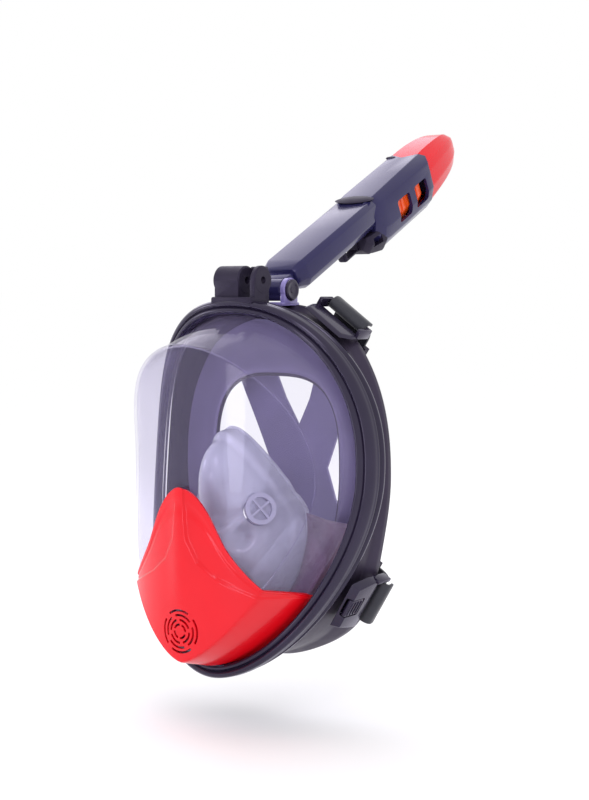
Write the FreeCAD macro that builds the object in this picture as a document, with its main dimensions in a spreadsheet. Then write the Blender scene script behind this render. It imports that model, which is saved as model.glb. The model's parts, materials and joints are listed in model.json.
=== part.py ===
import FreeCAD, Part
import math
import os
from types import SimpleNamespace

import Sketcher
from FreeCAD import Matrix, Placement, Rotation, Vector

# Full face snorkel mask.  Millimetres, +Z up, -Y towards the front, +X the wearer's left.
# The origin is the middle of the face opening, on the plane that meets the wearer's face.

DIMENSIONS = {
    # egg-shaped outline of the frame, seen from the front
    "frame_half_width": 97, "frame_rise": 122, "frame_drop": 137,
    "top_power": 2.3, "bottom_power": 1.87,
    # the outline is wrapped on an upright cylinder that leans a little
    "frame_side": -30, "bow_radius": 129.7, "bow_lean": 0.09,
    # layers behind the frame's front surface
    "frame_band": 9, "frame_depth": 8, "flange_depth": 2, "gasket_depth": 1.5,
    "bead_depth": 2, "rear_frame_depth": 5,
    # lens shell: outline at its back and at its front, and the curve of its front
    "lens_wall": 2.4, "lens_back": -8, "lens_back_half_width": 90.5, "lens_back_rise": 126.5,
    "lens_back_drop": 146.5, "lens_front": -118, "lens_front_half_width": 68.5,
    "lens_front_rise": 92, "lens_front_drop": 116, "lens_radius": 94, "lens_axis": -19,
    # silicone skirt and the face opening
    "skirt_wall": 2.8, "skirt_inset": 5.8, "skirt_flare_inset": 2.5, "skirt_rear_inset": 3.5,
    "flap_depth": 2.5, "face_half_width": 56, "face_rise": 69, "face_drop": 106,
    # nose and mouth pocket
    "pocket_half_width": 44, "pocket_reach": 62, "pocket_half_height": 70,
    "pocket_y": -22, "pocket_z": -45, "pocket_wall": 2.2,
    # inhale valves
    "inhale_x": 28.2, "inhale_y": -64, "inhale_z": -20, "inhale_radius": 11,
    "inhale_hole": 8, "inhale_seat_depth": 3, "valve_disc": 0.8,
    # exhaust valve and chin cover
    "exhaust_z": -99, "port_radius": 15.5, "seat_radius": 15.2, "seat_hole": 10.5,
    "seat_front": -108.5, "seat_depth": 4.5, "exhaust_disc": 12.5, "duct_wall": 1.8,
    "cover_gap": 0.3, "cover_wall": 2.2, "grille_radius": 15,
    # fold hinge of the snorkel
    "hinge_y": -14, "hinge_z": 129, "rest_lean": 62.5, "barrel_radius": 8, "barrel_half": 12.8,
    "cheek_inner": 13.2, "cheek_outer": 17.2, "pin_radius": 2, "running_gap": 0.06,
    "cap_depth": 1.4, "cap_radius": 7.4, "base_bottom": 117.6, "base_depth": 2.6,
    "spigot_radius": 7.5, "spigot_hole": 5.5,
    # snorkel tube, along its own axis from the hinge
    "tube_width": 37, "tube_front": 12, "tube_rear": 11, "tube_start": 20, "tube_end": 124,
    "tube_wall": 2, "neck_width": 25, "neck_front": 7, "neck_rear": 6, "divider_wall": 1.4,
    # float chamber head
    "head_width": 42, "head_front": 13.5, "head_rear": 30, "head_start": 124, "head_end": 204,
    "head_wall": 2.2, "window_wide": 17, "window_long": 22, "window_first": 150,
    "window_pitch": 28, "float_start": 143, "float_length": 48, "float_width": 35,
    "float_front": 6, "float_rear": 25, "cap_length": 64, "cap_wall": 2.2,
    "cage_start": 102, "cage_width": 34, "cage_front": 11.4, "cage_rear": 33,
    # camera bracket on the frame's crown
    "camera_y": -48, "camera_z": 135.5, "ear_radius": 10, "boss_left": -18.5, "gap_left": 4.5,
    "gap_right": 14, "ear_right": 18.5, "screw_bore": 2.6, "nut_across": 8, "nut_depth": 4,
    # strap lugs, clips and harness
    "strap_width": 34, "strap_depth": 2.2, "upper_lug_x": 53.5, "upper_lug_z": 106.2,
    "upper_lug_turn": 35, "lower_lug_x": 74, "lower_lug_z": -85.2, "lower_lug_turn": 121,
    "harness_y": 20, "harness_radius": 560,
}


class Size:
    """A number from the sheet that also knows the expression it came from."""

    def __init__(self, text, number):
        self.text = text
        self.number = number

    def _with(self, sign, other, number):
        return Size(f"({self.text} {sign} {text_of(other)})", number)

    def __add__(self, other):
        return self._with("+", other, self.number + number_of(other))

    def __sub__(self, other):
        return self._with("-", other, self.number - number_of(other))

    def __radd__(self, other):
        return self + other

    def __rsub__(self, other):
        return -self + other

    def __mul__(self, factor):
        return self._with("*", factor, self.number * number_of(factor))

    def __truediv__(self, divisor):
        return self._with("/", divisor, self.number / number_of(divisor))

    def __neg__(self):
        return Size(f"(-1 * {self.text})", -self.number)

    def __float__(self):
        return float(self.number)


def text_of(value):
    return value.text if isinstance(value, Size) else f"({value})"


def number_of(value):
    return value.number if isinstance(value, Size) else value


os.makedirs("parts", exist_ok=True)
doc = FreeCAD.newDocument("full_face_snorkel")
sheet = doc.addObject("Spreadsheet::Sheet", "Dimensions")
for row, (alias, number) in enumerate(DIMENSIONS.items(), start=1):
    sheet.set(f"A{row}", alias)
    sheet.set(f"B{row}", str(number))
    sheet.setAlias(f"B{row}", alias)
doc.recompute()
size = SimpleNamespace(**{alias: Size(f"Dimensions.{alias}", float(sheet.get(alias)))
                          for alias in DIMENSIONS})
# the same values as plain numbers, for shapes that are built from curves
plain = SimpleNamespace(**{alias: float(sheet.get(alias)) for alias in DIMENSIONS})

sub_parts = []


def finish(feature, label, placement=None):
    """Name a finished sub-part, place it and put it on the list that is exported."""
    feature.Label = label
    if placement is not None:
        feature.Placement = placement
    sub_parts.append(feature)
    return feature


def bind(feature, name, value):
    feature.setExpression(name, text_of(value))


def bind_place(feature, corner, rotation=None):
    """Place a primitive with each coordinate bound to the sheet."""
    feature.Placement = Placement(Vector(*[number_of(c) for c in corner]), rotation or Rotation())
    for axis, value in zip("xyz", corner):
        bind(feature, f"Placement.Base.{axis}", value)


# ---------------------------------------------------------------- primitives

ALONG = {"x": Rotation(Vector(0, 1, 0), 90), "y": Rotation(Vector(1, 0, 0), -90), "z": Rotation()}


def box(name, low, high):
    """A box between two corners whose coordinates are sizes or numbers."""
    solid = doc.addObject("Part::Box", name)
    for side, start, end in zip(("Length", "Width", "Height"), low, high):
        bind(solid, side, as_size(end) - start)
    bind_place(solid, low)
    return solid


def as_size(value):
    return value if isinstance(value, Size) else Size(f"({value})", value)


def cylinder(name, radius, length, start, along):
    solid = doc.addObject("Part::Cylinder", name)
    bind(solid, "Radius", radius)
    bind(solid, "Height", length)
    bind_place(solid, start, ALONG[along])
    return solid


def cut(name, base, *tools):
    result = base
    for number, tool in enumerate(tools):
        step = doc.addObject("Part::Cut", f"{name}_cut_{number}")
        step.Base = result
        step.Tool = tool
        result = step
    return result


def fuse(name, *shapes):
    result = doc.addObject("Part::MultiFuse", f"{name}_fuse")
    result.Shapes = list(shapes)
    return result


# ---------------------------------------------------------------- sketched bodies

def polygon_sketch(body, role, corners, offset=0):
    """A closed polygon on one of the body's planes, with every corner bound to the sheet."""
    sketch = body.newObject("Sketcher::SketchObject", f"{body.Name}_sketch")
    plane = next(f for f in body.Origin.OriginFeatures if f.Role == role)
    sketch.AttachmentSupport = (plane, [""])
    sketch.MapMode = "FlatFace"
    bind(sketch, "AttachmentOffset.Base.z", offset)
    points = [Vector(number_of(x), number_of(y), 0) for x, y in corners]
    for start, end in zip(points, points[1:] + points[:1]):
        sketch.addGeometry(Part.LineSegment(start, end))
    for index, corner in enumerate(corners):
        following = (index + 1) % len(corners)
        sketch.addConstraint(Sketcher.Constraint("Coincident", index, 2, following, 1))
        for kind, value in zip(("DistanceX", "DistanceY"), corner):
            limit = Sketcher.Constraint(kind, -1, 1, index, 1, float(number_of(value)))
            place = sketch.addConstraint(limit)
            if isinstance(value, Size):
                sketch.setExpression(f"Constraints[{place}]", value.text)
    return sketch


def rectangle(x_low, x_high, y_low, y_high):
    return [(x_low, y_low), (x_high, y_low), (x_high, y_high), (x_low, y_high)]


def new_body(name):
    return doc.addObject("PartDesign::Body", name)


def pad(body, sketch, length):
    feature = body.newObject("PartDesign::Pad", f"{body.Name}_pad")
    feature.Profile = sketch
    bind(feature, "Length", length)
    return feature


def fillet(body, base, edges, radius):
    doc.recompute()
    names = [f"Edge{i}" for i, edge in enumerate(base.Shape.Edges, start=1) if edges(edge)]
    feature = body.newObject("PartDesign::Fillet", f"{body.Name}_fillet")
    feature.Base = (base, names)
    bind(feature, "Radius", radius)
    return feature


def runs_along_z(edge):
    start, end = edge.Vertexes[0].Point, edge.Vertexes[-1].Point
    return abs(end.z - start.z) > 1 and math.hypot(end.x - start.x, end.y - start.y) < 0.01


def pad_body(name, outline, start, length, corner=None):
    """A prism along Z, with its long edges rounded when a corner radius is given."""
    body = new_body(name)
    solid = pad(body, polygon_sketch(body, "XY_Plane", outline, start), length)
    if corner is not None:
        fillet(body, solid, runs_along_z, corner)
    return body


def turned_body(name, profile):
    """A body of revolution about Z from a half profile of (radius, height) corners."""
    body = new_body(name)
    feature = body.newObject("PartDesign::Revolution", f"{name}_turn")
    feature.Profile = polygon_sketch(body, "XZ_Plane", profile)
    feature.ReferenceAxis = (feature.Profile[0], ["V_Axis"])
    feature.Angle = 360
    return body


def ring_profile(inner, outer, low, high):
    return [(inner, low), (outer, low), (outer, high), (inner, high)]


# ---------------------------------------------------------------- egg-shaped shells

EGG_POINTS = 40


def egg_wire(half_width, rise, drop, y):
    """The mask's outline: one power of the ellipse above the middle and another below it."""
    points = []
    for step in range(EGG_POINTS):
        turn = 2 * math.pi * step / EGG_POINTS
        across, up = math.cos(turn), math.sin(turn)
        power, height = (plain.top_power, rise) if up >= 0 else (plain.bottom_power, drop)
        x = half_width * math.copysign(abs(across) ** (2 / power), across)
        z = height * math.copysign(abs(up) ** (2 / power), up)
        points.append(Vector(x, y, z))
    curve = Part.BSplineCurve()
    curve.interpolate(Points=points, PeriodicFlag=True)
    return Part.Wire(curve.toShape())


def egg_block(inset, front, back):
    """A straight block along Y whose outline lies inset inside the frame's outline."""
    outline = egg_wire(plain.frame_half_width - inset, plain.frame_rise - inset,
                       plain.frame_drop - inset, front)
    return Part.Face(outline).extrude(Vector(0, back - front, 0))


def behind_bow(depth):
    """Everything behind the frame's bowed front surface moved back by a depth."""
    axis = Vector(0, plain.bow_lean, 1).normalize()
    middle = Vector(0, plain.frame_side + depth, 0)
    middle.y += math.sqrt(plain.bow_radius ** 2 - plain.frame_half_width ** 2)
    return Part.makeCylinder(plain.bow_radius, 600, middle - axis * 300, axis)


FAR_FRONT = -150
FAR_BACK = 12


def bowed_ring(outer_inset, inner_inset, depth, thickness):
    ring = egg_block(outer_inset, FAR_FRONT, FAR_BACK).cut(
        egg_block(inner_inset, FAR_FRONT - 1, FAR_BACK + 1))
    return ring.common(behind_bow(depth)).cut(behind_bow(depth + thickness))


def lens_block(offset):
    """The closed block inside the lens's outer surface moved outwards by an offset."""
    back = egg_wire(plain.lens_back_half_width + offset, plain.lens_back_rise + offset,
                    plain.lens_back_drop + offset, plain.lens_back)
    front = egg_wire(plain.lens_front_half_width + offset, plain.lens_front_rise + offset,
                     plain.lens_front_drop + offset, plain.lens_front - 2)
    front_curve = Part.makeCylinder(plain.lens_radius + offset, 400,
                                    Vector(0, plain.lens_axis, -200), Vector(0, 0, 1))
    return Part.makeLoft([back, front], True, True).common(front_curve)


def ellipsoid(centre, radii):
    stretch = Matrix()
    stretch.scale(*radii)
    ball = Part.makeSphere(1).transformGeometry(stretch)
    ball.translate(centre)
    return ball


def shape_part(label, shape):
    """A sub-part whose surfaces are curves of the mask's outline."""
    feature = doc.addObject("Part::Feature", label)
    feature.Shape = shape
    return finish(feature, label)


flange_at = plain.frame_depth
gasket_at = flange_at + plain.flange_depth
bead_at = gasket_at + plain.gasket_depth
rear_frame_at = bead_at + plain.bead_depth
rear_frame_end = rear_frame_at + plain.rear_frame_depth


def make_frames():
    front = bowed_ring(0, plain.frame_band, 0, plain.frame_depth)
    shape_part("front_frame", front)
    rear = bowed_ring(0.6, plain.skirt_inset - 0.1, rear_frame_at, plain.rear_frame_depth)
    shape_part("rear_frame", rear)
    shape_part("lens_gasket", bowed_ring(2.5, 9.5, gasket_at, plain.gasket_depth))


def exhaust_port(radius):
    return Part.makeCylinder(radius, 60, Vector(0, FAR_FRONT, plain.exhaust_z), Vector(0, 1, 0))


def make_lens():
    shell = lens_block(0).cut(lens_block(-plain.lens_wall)).cut(behind_bow(gasket_at))
    flange = bowed_ring(2.5, plain.frame_band + 2.5, flange_at, plain.flange_depth)
    flange = flange.cut(lens_block(-plain.lens_wall))
    lens = shell.fuse(flange).cut(exhaust_port(plain.port_radius))
    shape_part("lens", lens)


SOCKET_PAD_HALF = 17
SOCKET_PAD_FRONT = -26
SOCKET_PAD_BACK = -3


def skirt_block(inset, back):
    """The skirt's outer or inner block: straight behind the frame, then flared to the rear."""
    flare = inset - plain.skirt_inset
    half_width, rise, drop = plain.frame_half_width, plain.frame_rise, plain.frame_drop
    belt = []
    for extra, y in ((plain.skirt_inset, -11), (plain.skirt_flare_inset, -6),
                     (plain.skirt_rear_inset, back)):
        less = extra + flare
        belt.append(egg_wire(half_width - less, rise - less, drop - less, y))
    return egg_block(inset, FAR_FRONT, -11).fuse(Part.makeLoft(belt, True, True))


def make_skirt():
    outer = skirt_block(plain.skirt_inset, 0)
    inner = skirt_block(plain.skirt_inset + plain.skirt_wall, -plain.flap_depth)
    face = Part.Face(egg_wire(plain.face_half_width, plain.face_rise, plain.face_drop, -20))
    skirt = outer.cut(inner).cut(face.extrude(Vector(0, 30, 0))).common(behind_bow(bead_at))
    bead = bowed_ring(2.5, plain.skirt_inset + plain.skirt_wall, bead_at, plain.bead_depth)
    pad_low = Vector(-SOCKET_PAD_HALF, SOCKET_PAD_FRONT, plain.base_bottom - 6)
    pad_block = Part.makeBox(2 * SOCKET_PAD_HALF, SOCKET_PAD_BACK - SOCKET_PAD_FRONT, 6, pad_low)
    room = Part.makeBox(2 * SOCKET_PAD_HALF + 4, SOCKET_PAD_BACK - SOCKET_PAD_FRONT + 4, 9,
                        pad_low + Vector(-2, -2, 6))
    duct = Part.makeCylinder(plain.spigot_radius, 30,
                             Vector(0, plain.hinge_y, plain.base_bottom - 20))
    skirt = skirt.fuse(bead).fuse(pad_block.cut(inner)).cut(room).cut(duct)
    shape_part("face_skirt", skirt.removeSplitter())


# thickness of the web that joins the pocket's rim to the skirt, and the web's top edge
WEB_DEPTH = 1.8
WEB_TOP = -25


def pocket_block(shrink):
    centre = Vector(0, plain.pocket_y, plain.pocket_z)
    radii = [radius - shrink for radius in
             (plain.pocket_half_width, plain.pocket_reach, plain.pocket_half_height)]
    return ellipsoid(centre, radii)


def inhale_placement(side):
    """Where an inhale valve sits on the pocket, with its own +Z pointing outwards."""
    centre = Vector(0, plain.pocket_y, plain.pocket_z)
    point = Vector(side * plain.inhale_x, plain.inhale_y, plain.inhale_z)
    away = point - centre
    normal = Vector(away.x / plain.pocket_half_width ** 2, away.y / plain.pocket_reach ** 2,
                    away.z / plain.pocket_half_height ** 2)
    return Placement(point, Rotation(Vector(0, 0, 1), normal))


def make_pocket():
    shell = pocket_block(0).cut(pocket_block(plain.pocket_wall))
    half_space = Part.makeBox(200, 200, 300, Vector(-100, plain.pocket_y - 200, -200))
    port = Part.makeCylinder(plain.seat_radius - 3, 80,
                             Vector(0, FAR_FRONT, plain.exhaust_z), Vector(0, 1, 0))
    shell = shell.common(half_space).cut(port)
    for side in (-1, 1):
        hole = Part.makeCylinder(plain.inhale_radius, 12, Vector(0, 0, -6))
        hole.Placement = inhale_placement(side)
        shell = shell.cut(hole)
    web = egg_block(plain.skirt_inset + plain.skirt_wall + 0.05, plain.pocket_y - WEB_DEPTH,
                    plain.pocket_y)
    web = web.common(Part.makeBox(300, 100, 300, Vector(-150, -50, WEB_TOP - 300)))
    web = web.cut(pocket_block(plain.pocket_wall / 2))
    shape_part("orinasal_pocket", shell.fuse(web))
    duct = Part.makeCylinder(plain.seat_radius - 3, 60, Vector(0, plain.seat_front + 4.8,
                             plain.exhaust_z), Vector(0, 1, 0))
    bore = Part.makeCylinder(plain.seat_radius - 3 - plain.duct_wall, 80,
                             Vector(0, plain.seat_front, plain.exhaust_z), Vector(0, 1, 0))
    shape_part("exhaust_duct", duct.cut(bore).cut(pocket_block(0)))


def make_inhale_valves():
    for side, name in ((1, "left"), (-1, "right")):
        place = inhale_placement(side)
        seat = turned_body(f"inhale_seat_{name}_body", ring_profile(
            size.inhale_hole, size.inhale_radius - 0.05, -size.inhale_seat_depth, 1))
        spoke_one = box(f"inhale_spoke_{name}_1", (-size.inhale_hole - 0.5, -0.7, -0.8),
                        (size.inhale_hole + 0.5, 0.7, 0.8))
        spoke_two = box(f"inhale_spoke_{name}_2", (-0.7, -size.inhale_hole - 0.5, -0.8),
                        (0.7, size.inhale_hole + 0.5, 0.8))
        finish(fuse(f"inhale_seat_{name}", seat, spoke_one, spoke_two),
               f"inhale_valve_seat_{name}", place)
        disc = turned_body(f"inhale_disc_{name}", [
            (0, -size.inhale_seat_depth - 0.1 - size.valve_disc),
            (size.inhale_radius - 1.5, -size.inhale_seat_depth - 0.1 - size.valve_disc),
            (size.inhale_radius - 1.5, -size.inhale_seat_depth - 0.1),
            (0, -size.inhale_seat_depth - 0.1)])
        finish(disc, f"inhale_valve_disc_{name}", place)


def make_exhaust_valve():
    """Seat, spokes and disc, drawn along Z and turned to face the front."""
    place = Placement(Vector(0, plain.seat_front, plain.exhaust_z),
                      Rotation(Vector(1, 0, 0), -90))
    seat = turned_body("exhaust_seat_ring", ring_profile(
        size.seat_hole, size.seat_radius, 0, size.seat_depth))
    spokes = [box(f"exhaust_spoke_{axis}", *corners) for axis, corners in (
        ("x", ((-size.seat_hole - 0.5, -0.8, 1), (size.seat_hole + 0.5, 0.8, 3))),
        ("y", ((-0.8, -size.seat_hole - 0.5, 1), (0.8, size.seat_hole + 0.5, 3))))]
    finish(fuse("exhaust_seat", seat, *spokes), "exhaust_valve_seat", place)
    disc = turned_body("exhaust_disc_body", [
        (0, -0.2 - size.valve_disc), (size.exhaust_disc, -0.2 - size.valve_disc),
        (size.exhaust_disc, -0.2), (0, -0.2)])
    finish(disc, "exhaust_valve_disc", place)


# half of the chin cover's upper edge, from the nose peak to the corner at the frame
COVER_EDGE = ((0, -3), (6, -4), (13, -9), (21, -19), (28, -32), (33, -42), (44, -56), (57, -67),
              (67, -76))


def cover_window():
    """The front view of the chin cover, pushed through the mask from front to back."""
    right = [Vector(x, FAR_FRONT, z) for x, z in COVER_EDGE]
    left = [Vector(-x, FAR_FRONT, z) for x, z in reversed(COVER_EDGE)]
    low = [Vector(67, FAR_FRONT, -150), Vector(-67, FAR_FRONT, -150)]
    outline = Part.makePolygon(right + low + left)
    return Part.Face(outline).extrude(Vector(0, -FAR_FRONT, 0))


def make_chin_cover():
    shell = lens_block(plain.cover_gap + plain.cover_wall).cut(lens_block(plain.cover_gap))
    shell = shell.common(cover_window()).cut(behind_bow(-plain.cover_gap))
    shell = shell.common(egg_block(plain.frame_band + 0.4, FAR_FRONT, FAR_BACK))
    middle = Vector(0, FAR_FRONT, plain.exhaust_z)
    radius = plain.grille_radius
    for inner, outer in ((radius - 1.5, radius), (radius - 4.8, radius - 3.3),
                         (radius - 8.1, radius - 6.6)):
        slot = Part.makeCylinder(outer, 60, middle, Vector(0, 1, 0)).cut(
            Part.makeCylinder(inner, 60, middle, Vector(0, 1, 0)))
        for turn in (0, 60, 120):
            bar = Part.makeBox(2.4, 60, 2 * radius + 4, middle - Vector(1.2, 0, radius + 2))
            bar.rotate(middle, Vector(0, 1, 0), turn)
            slot = slot.cut(bar)
        shell = shell.cut(slot)
    shape_part("chin_cover", shell)


# ---------------------------------------------------------------- hinge and snorkel

hinge_point = Vector(0, plain.hinge_y, plain.hinge_z)
snorkel_place = Placement(hinge_point, Rotation(Vector(1, 0, 0), -plain.rest_lean))


def make_hinge():
    """The socket stands on the skirt's crown and holds the barrel between two cheeks."""
    top = size.base_bottom + size.base_depth
    plate = box("socket_plate", (-size.cheek_outer, size.hinge_y - 11, size.base_bottom),
                (size.cheek_outer, size.hinge_y + 10, top))
    spigot = cylinder("socket_spigot", size.spigot_radius - 0.05, 9,
                      (0, size.hinge_y, size.base_bottom - 8), "z")
    parts = [plate, spigot]
    for side, low in ((1, size.cheek_inner), (-1, -size.cheek_outer)):
        wide = size.cheek_outer - size.cheek_inner
        parts.append(cylinder(f"cheek_{side + 1}", size.barrel_radius + 0.5, wide,
                              (low, size.hinge_y, size.hinge_z), "x"))
        parts.append(box(f"cheek_leg_{side + 1}", (low, size.hinge_y - 7, size.base_bottom),
                         (low + wide, size.hinge_y + 7, size.hinge_z)))
    hole = cylinder("spigot_hole", size.spigot_hole, 30,
                    (0, size.hinge_y, size.base_bottom - 20), "z")
    pin_hole = cylinder("socket_pin_hole", size.pin_radius + 0.02, 60,
                        (-30, size.hinge_y, size.hinge_z), "x")
    sweep = cylinder("barrel_room", size.barrel_radius + 0.4, size.cheek_inner * 2,
                     (-size.cheek_inner, size.hinge_y, size.hinge_z), "x")
    finish(cut("socket", fuse("socket", *parts), hole, pin_hole, sweep), "snorkel_socket")
    gasket = cylinder("gasket_disc", size.spigot_radius + 3, 1.2,
                      (0, size.hinge_y, size.base_bottom - 9.4), "z")
    gasket_hole = cylinder("gasket_hole", size.spigot_hole + 0.5, 4,
                           (0, size.hinge_y, size.base_bottom - 11), "z")
    finish(cut("socket_gasket", gasket, gasket_hole), "socket_lock_ring")
    pin = cylinder("pin_shaft", size.pin_radius, size.cheek_outer * 2,
                   (-size.cheek_outer, size.hinge_y, size.hinge_z), "x")
    finish(pin, "hinge_pin")
    for name, start in (("left", size.cheek_outer + 0.05),
                        ("right", -size.cheek_outer - 0.05 - size.cap_depth)):
        disc = cylinder(f"hinge_cap_disc_{name}", size.cap_radius, size.cap_depth,
                        (start, size.hinge_y, size.hinge_z), "x")
        finish(disc, f"hinge_cap_{name}")


def make_tube():
    """Neck and barrel at the hinge, then the wide tube with a hollow right through it."""
    half = size.tube_width / 2
    outline = [(-half + 4, -size.tube_front), (half - 4, -size.tube_front),
               (half, -size.tube_front + 4), (half, size.tube_rear - 7),
               (half - 7, size.tube_rear), (-half + 7, size.tube_rear),
               (-half, size.tube_rear - 7), (-half, -size.tube_front + 4)]
    shell = pad_body("tube_shell", outline, size.tube_start, size.tube_end - size.tube_start)
    wall = size.tube_wall
    hollow = [(-half + 4 + wall / 2, -size.tube_front + wall),
              (half - 4 - wall / 2, -size.tube_front + wall),
              (half - wall, -size.tube_front + 4 + wall / 2),
              (half - wall, size.tube_rear - 7 - wall / 2),
              (half - 7 - wall / 2, size.tube_rear - wall),
              (-half + 7 + wall / 2, size.tube_rear - wall),
              (-half + wall, size.tube_rear - 7 - wall / 2),
              (-half + wall, -size.tube_front + 4 + wall / 2)]
    room = pad_body("tube_room", hollow, size.tube_start + 2, size.tube_end - size.tube_start)
    neck = box("tube_neck", (-size.neck_width / 2, -size.neck_front, 4),
               (size.neck_width / 2, size.neck_rear, size.tube_start + 0.5))
    barrel = cylinder("tube_barrel", size.barrel_radius, size.barrel_half * 2,
                      (-size.barrel_half, 0, 0), "x")
    pin_hole = cylinder("barrel_pin_hole", size.pin_radius + size.running_gap, 60,
                        (-30, 0, 0), "x")
    air_way = cylinder("neck_air_way", 4.2, size.tube_start, (0, 0, 4), "z")
    whole = fuse("tube", shell, neck, barrel)
    finish(cut("tube", whole, room, pin_hole, air_way), "snorkel_tube", snorkel_place)
    divider = []
    for side in (-1, 1):
        middle = size.tube_width * (side / 6)
        divider.append(box(f"divider_{side + 1}",
                           (middle - size.divider_wall / 2, -size.tube_front + wall + 0.1,
                            size.tube_start + 4),
                           (middle + size.divider_wall / 2, size.tube_rear - wall - 0.1,
                            size.tube_end - 1)))
    web = box("divider_web", (-size.tube_width / 6, -0.7, size.tube_start + 4),
              (size.tube_width / 6, 0.7, size.tube_start + 10))
    finish(fuse("tube_divider", *divider, web), "tube_divider", snorkel_place)


def head_outline(grow):
    """The float chamber's section: flat front with bevels, rounded towards the rear."""
    half = size.head_width / 2 + grow
    front, rear = -size.head_front - grow, size.head_rear + grow
    return [(-half + 7, front), (half - 7, front), (half, front + 8), (half, rear - 14),
            (half - 9, rear), (-half + 9, rear), (-half, rear - 14), (-half, front + 8)]


def make_head():
    wall = size.head_wall
    shell = pad_body("head_shell", head_outline(0), size.head_start,
                     size.head_end - size.head_start)
    room = pad_body("head_room", head_outline(-wall), size.head_start + wall,
                    size.head_end - size.head_start)
    tools = [room]
    inlet = box("head_inlet", (-size.tube_width / 2 + 4, -size.tube_front + 3,
                               size.head_start - 1),
                (size.tube_width / 2 - 4, size.tube_rear - 3, size.head_start + wall + 1))
    tools.append(inlet)
    for index in (0, 1):
        start = size.window_first + size.window_pitch * index
        tools.append(box(f"window_{index}", (-size.head_width, 2, start),
                         (size.head_width, size.window_wide + 2, start + size.window_long)))
        tools.append(box(f"rear_slot_{index}", (-8, size.head_rear - 5, start),
                         (8, size.head_rear + 5, start + 8)))
    finish(cut("head", shell, *tools), "float_housing", snorkel_place)
    half = size.head_width / 2 - wall - 0.2
    front = -size.head_front + wall + 0.2
    seat_outline = [(-half + 7, front), (half - 7, front), (half, front + 8), (half, 12),
                    (half - 2.2, 16), (-half + 2.2, 16), (-half, 12), (-half, front + 8)]
    seat = pad_body("seat_plate", seat_outline, size.head_end - 2.5, 2.3)
    seat_hole = cylinder("seat_plate_hole", 8, 10, (0, 2, size.head_end - 6), "z")
    finish(cut("float_seat", seat, seat_hole), "float_seat", snorkel_place)


def make_float():
    half, front, rear = size.float_width / 2, -size.float_front, size.float_rear
    outline = [(-half + 3, front), (half - 3, front), (half, front + 3), (half, rear - 13),
               (half - 9, rear), (-half + 9, rear), (-half, rear - 13), (-half, front + 3)]
    finish(pad_body("float_block", outline, size.float_start, size.float_length), "float",
           snorkel_place)
    top = size.float_start + size.float_length
    seal = turned_body("float_seal_disc", [(0, top), (10, top), (10, top + 1.6), (0, top + 1.6)])
    finish(seal, "float_seal", Placement(snorkel_place.multVec(Vector(0, 2, 0)),
                                         snorkel_place.Rotation))


# the cap's outlines: share of the full width, share of the height, step back from the front
CAP_SECTIONS = ((1.0, 0, 0), (0.97, 0.3, 0), (0.82, 0.62, 1.5), (0.56, 0.85, 5), (0.26, 1.0, 9))


def make_top_cap():
    """A blunt nose made of five stacked outlines, hollowed from below."""
    def loft(start, grow):
        wires = []
        for share, height, step_in in CAP_SECTIONS:
            half = (plain.head_width / 2 + grow) * share
            front = -plain.head_front - grow + step_in
            rear = front + (plain.head_front + plain.head_rear + 2 * grow) * share
            bevel = 8 * share
            z = start + height * (plain.cap_length + grow)
            corners = [(-half + bevel, front), (half - bevel, front), (half, front + bevel),
                       (half, rear - bevel), (half - bevel, rear), (-half + bevel, rear),
                       (-half, rear - bevel), (-half, front + bevel)]
            wires.append(Part.makePolygon([Vector(x, y, z) for x, y in corners + corners[:1]]))
        return Part.makeLoft(wires, True, False)
    start = plain.head_end + 0.1
    cap = loft(start, 0).cut(loft(start - 0.01, -plain.cap_wall))
    shape_part("top_cap", cap).Placement = snorkel_place


def make_cage():
    """The open cage under the float chamber, with a loop that clips it to the tube."""
    half = size.cage_width / 2
    outline = [(-half, size.cage_front), (half, size.cage_front), (half, size.cage_rear - 10),
               (half - 6, size.cage_rear - 3), (-half + 6, size.cage_rear - 3),
               (-half, size.cage_rear - 10)]
    block = pad_body("cage_block", outline, size.cage_start + 8,
                     size.head_start - size.cage_start - 8.2)
    tools = [box("cage_room", (-half + 2, size.cage_front + 2, size.cage_start + 10),
                 (half - 2, size.cage_rear - 6, size.head_start + 1))]
    for side in (-1, 0, 1):
        tools.append(box(f"cage_slot_{side + 1}", (half * (side * 0.55) - 2, size.cage_rear - 10,
                                                   size.cage_start + 12),
                         (half * (side * 0.55) + 2, size.cage_rear + 1, size.head_start - 4)))
    finish(cut("cage", block, *tools), "lower_cage", snorkel_place)
    loop = box("clip_block", (-4, size.cage_front - 0.2, size.cage_start - 14),
               (4, size.cage_front + 12, size.cage_start + 7.8))
    gap = box("clip_gap", (-5, size.cage_front + 2, size.cage_start - 12),
              (5, size.cage_front + 10, size.cage_start + 4))
    finish(cut("cage_clip", loop, gap), "cage_clip", snorkel_place)


# ---------------------------------------------------------------- camera bracket

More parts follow.
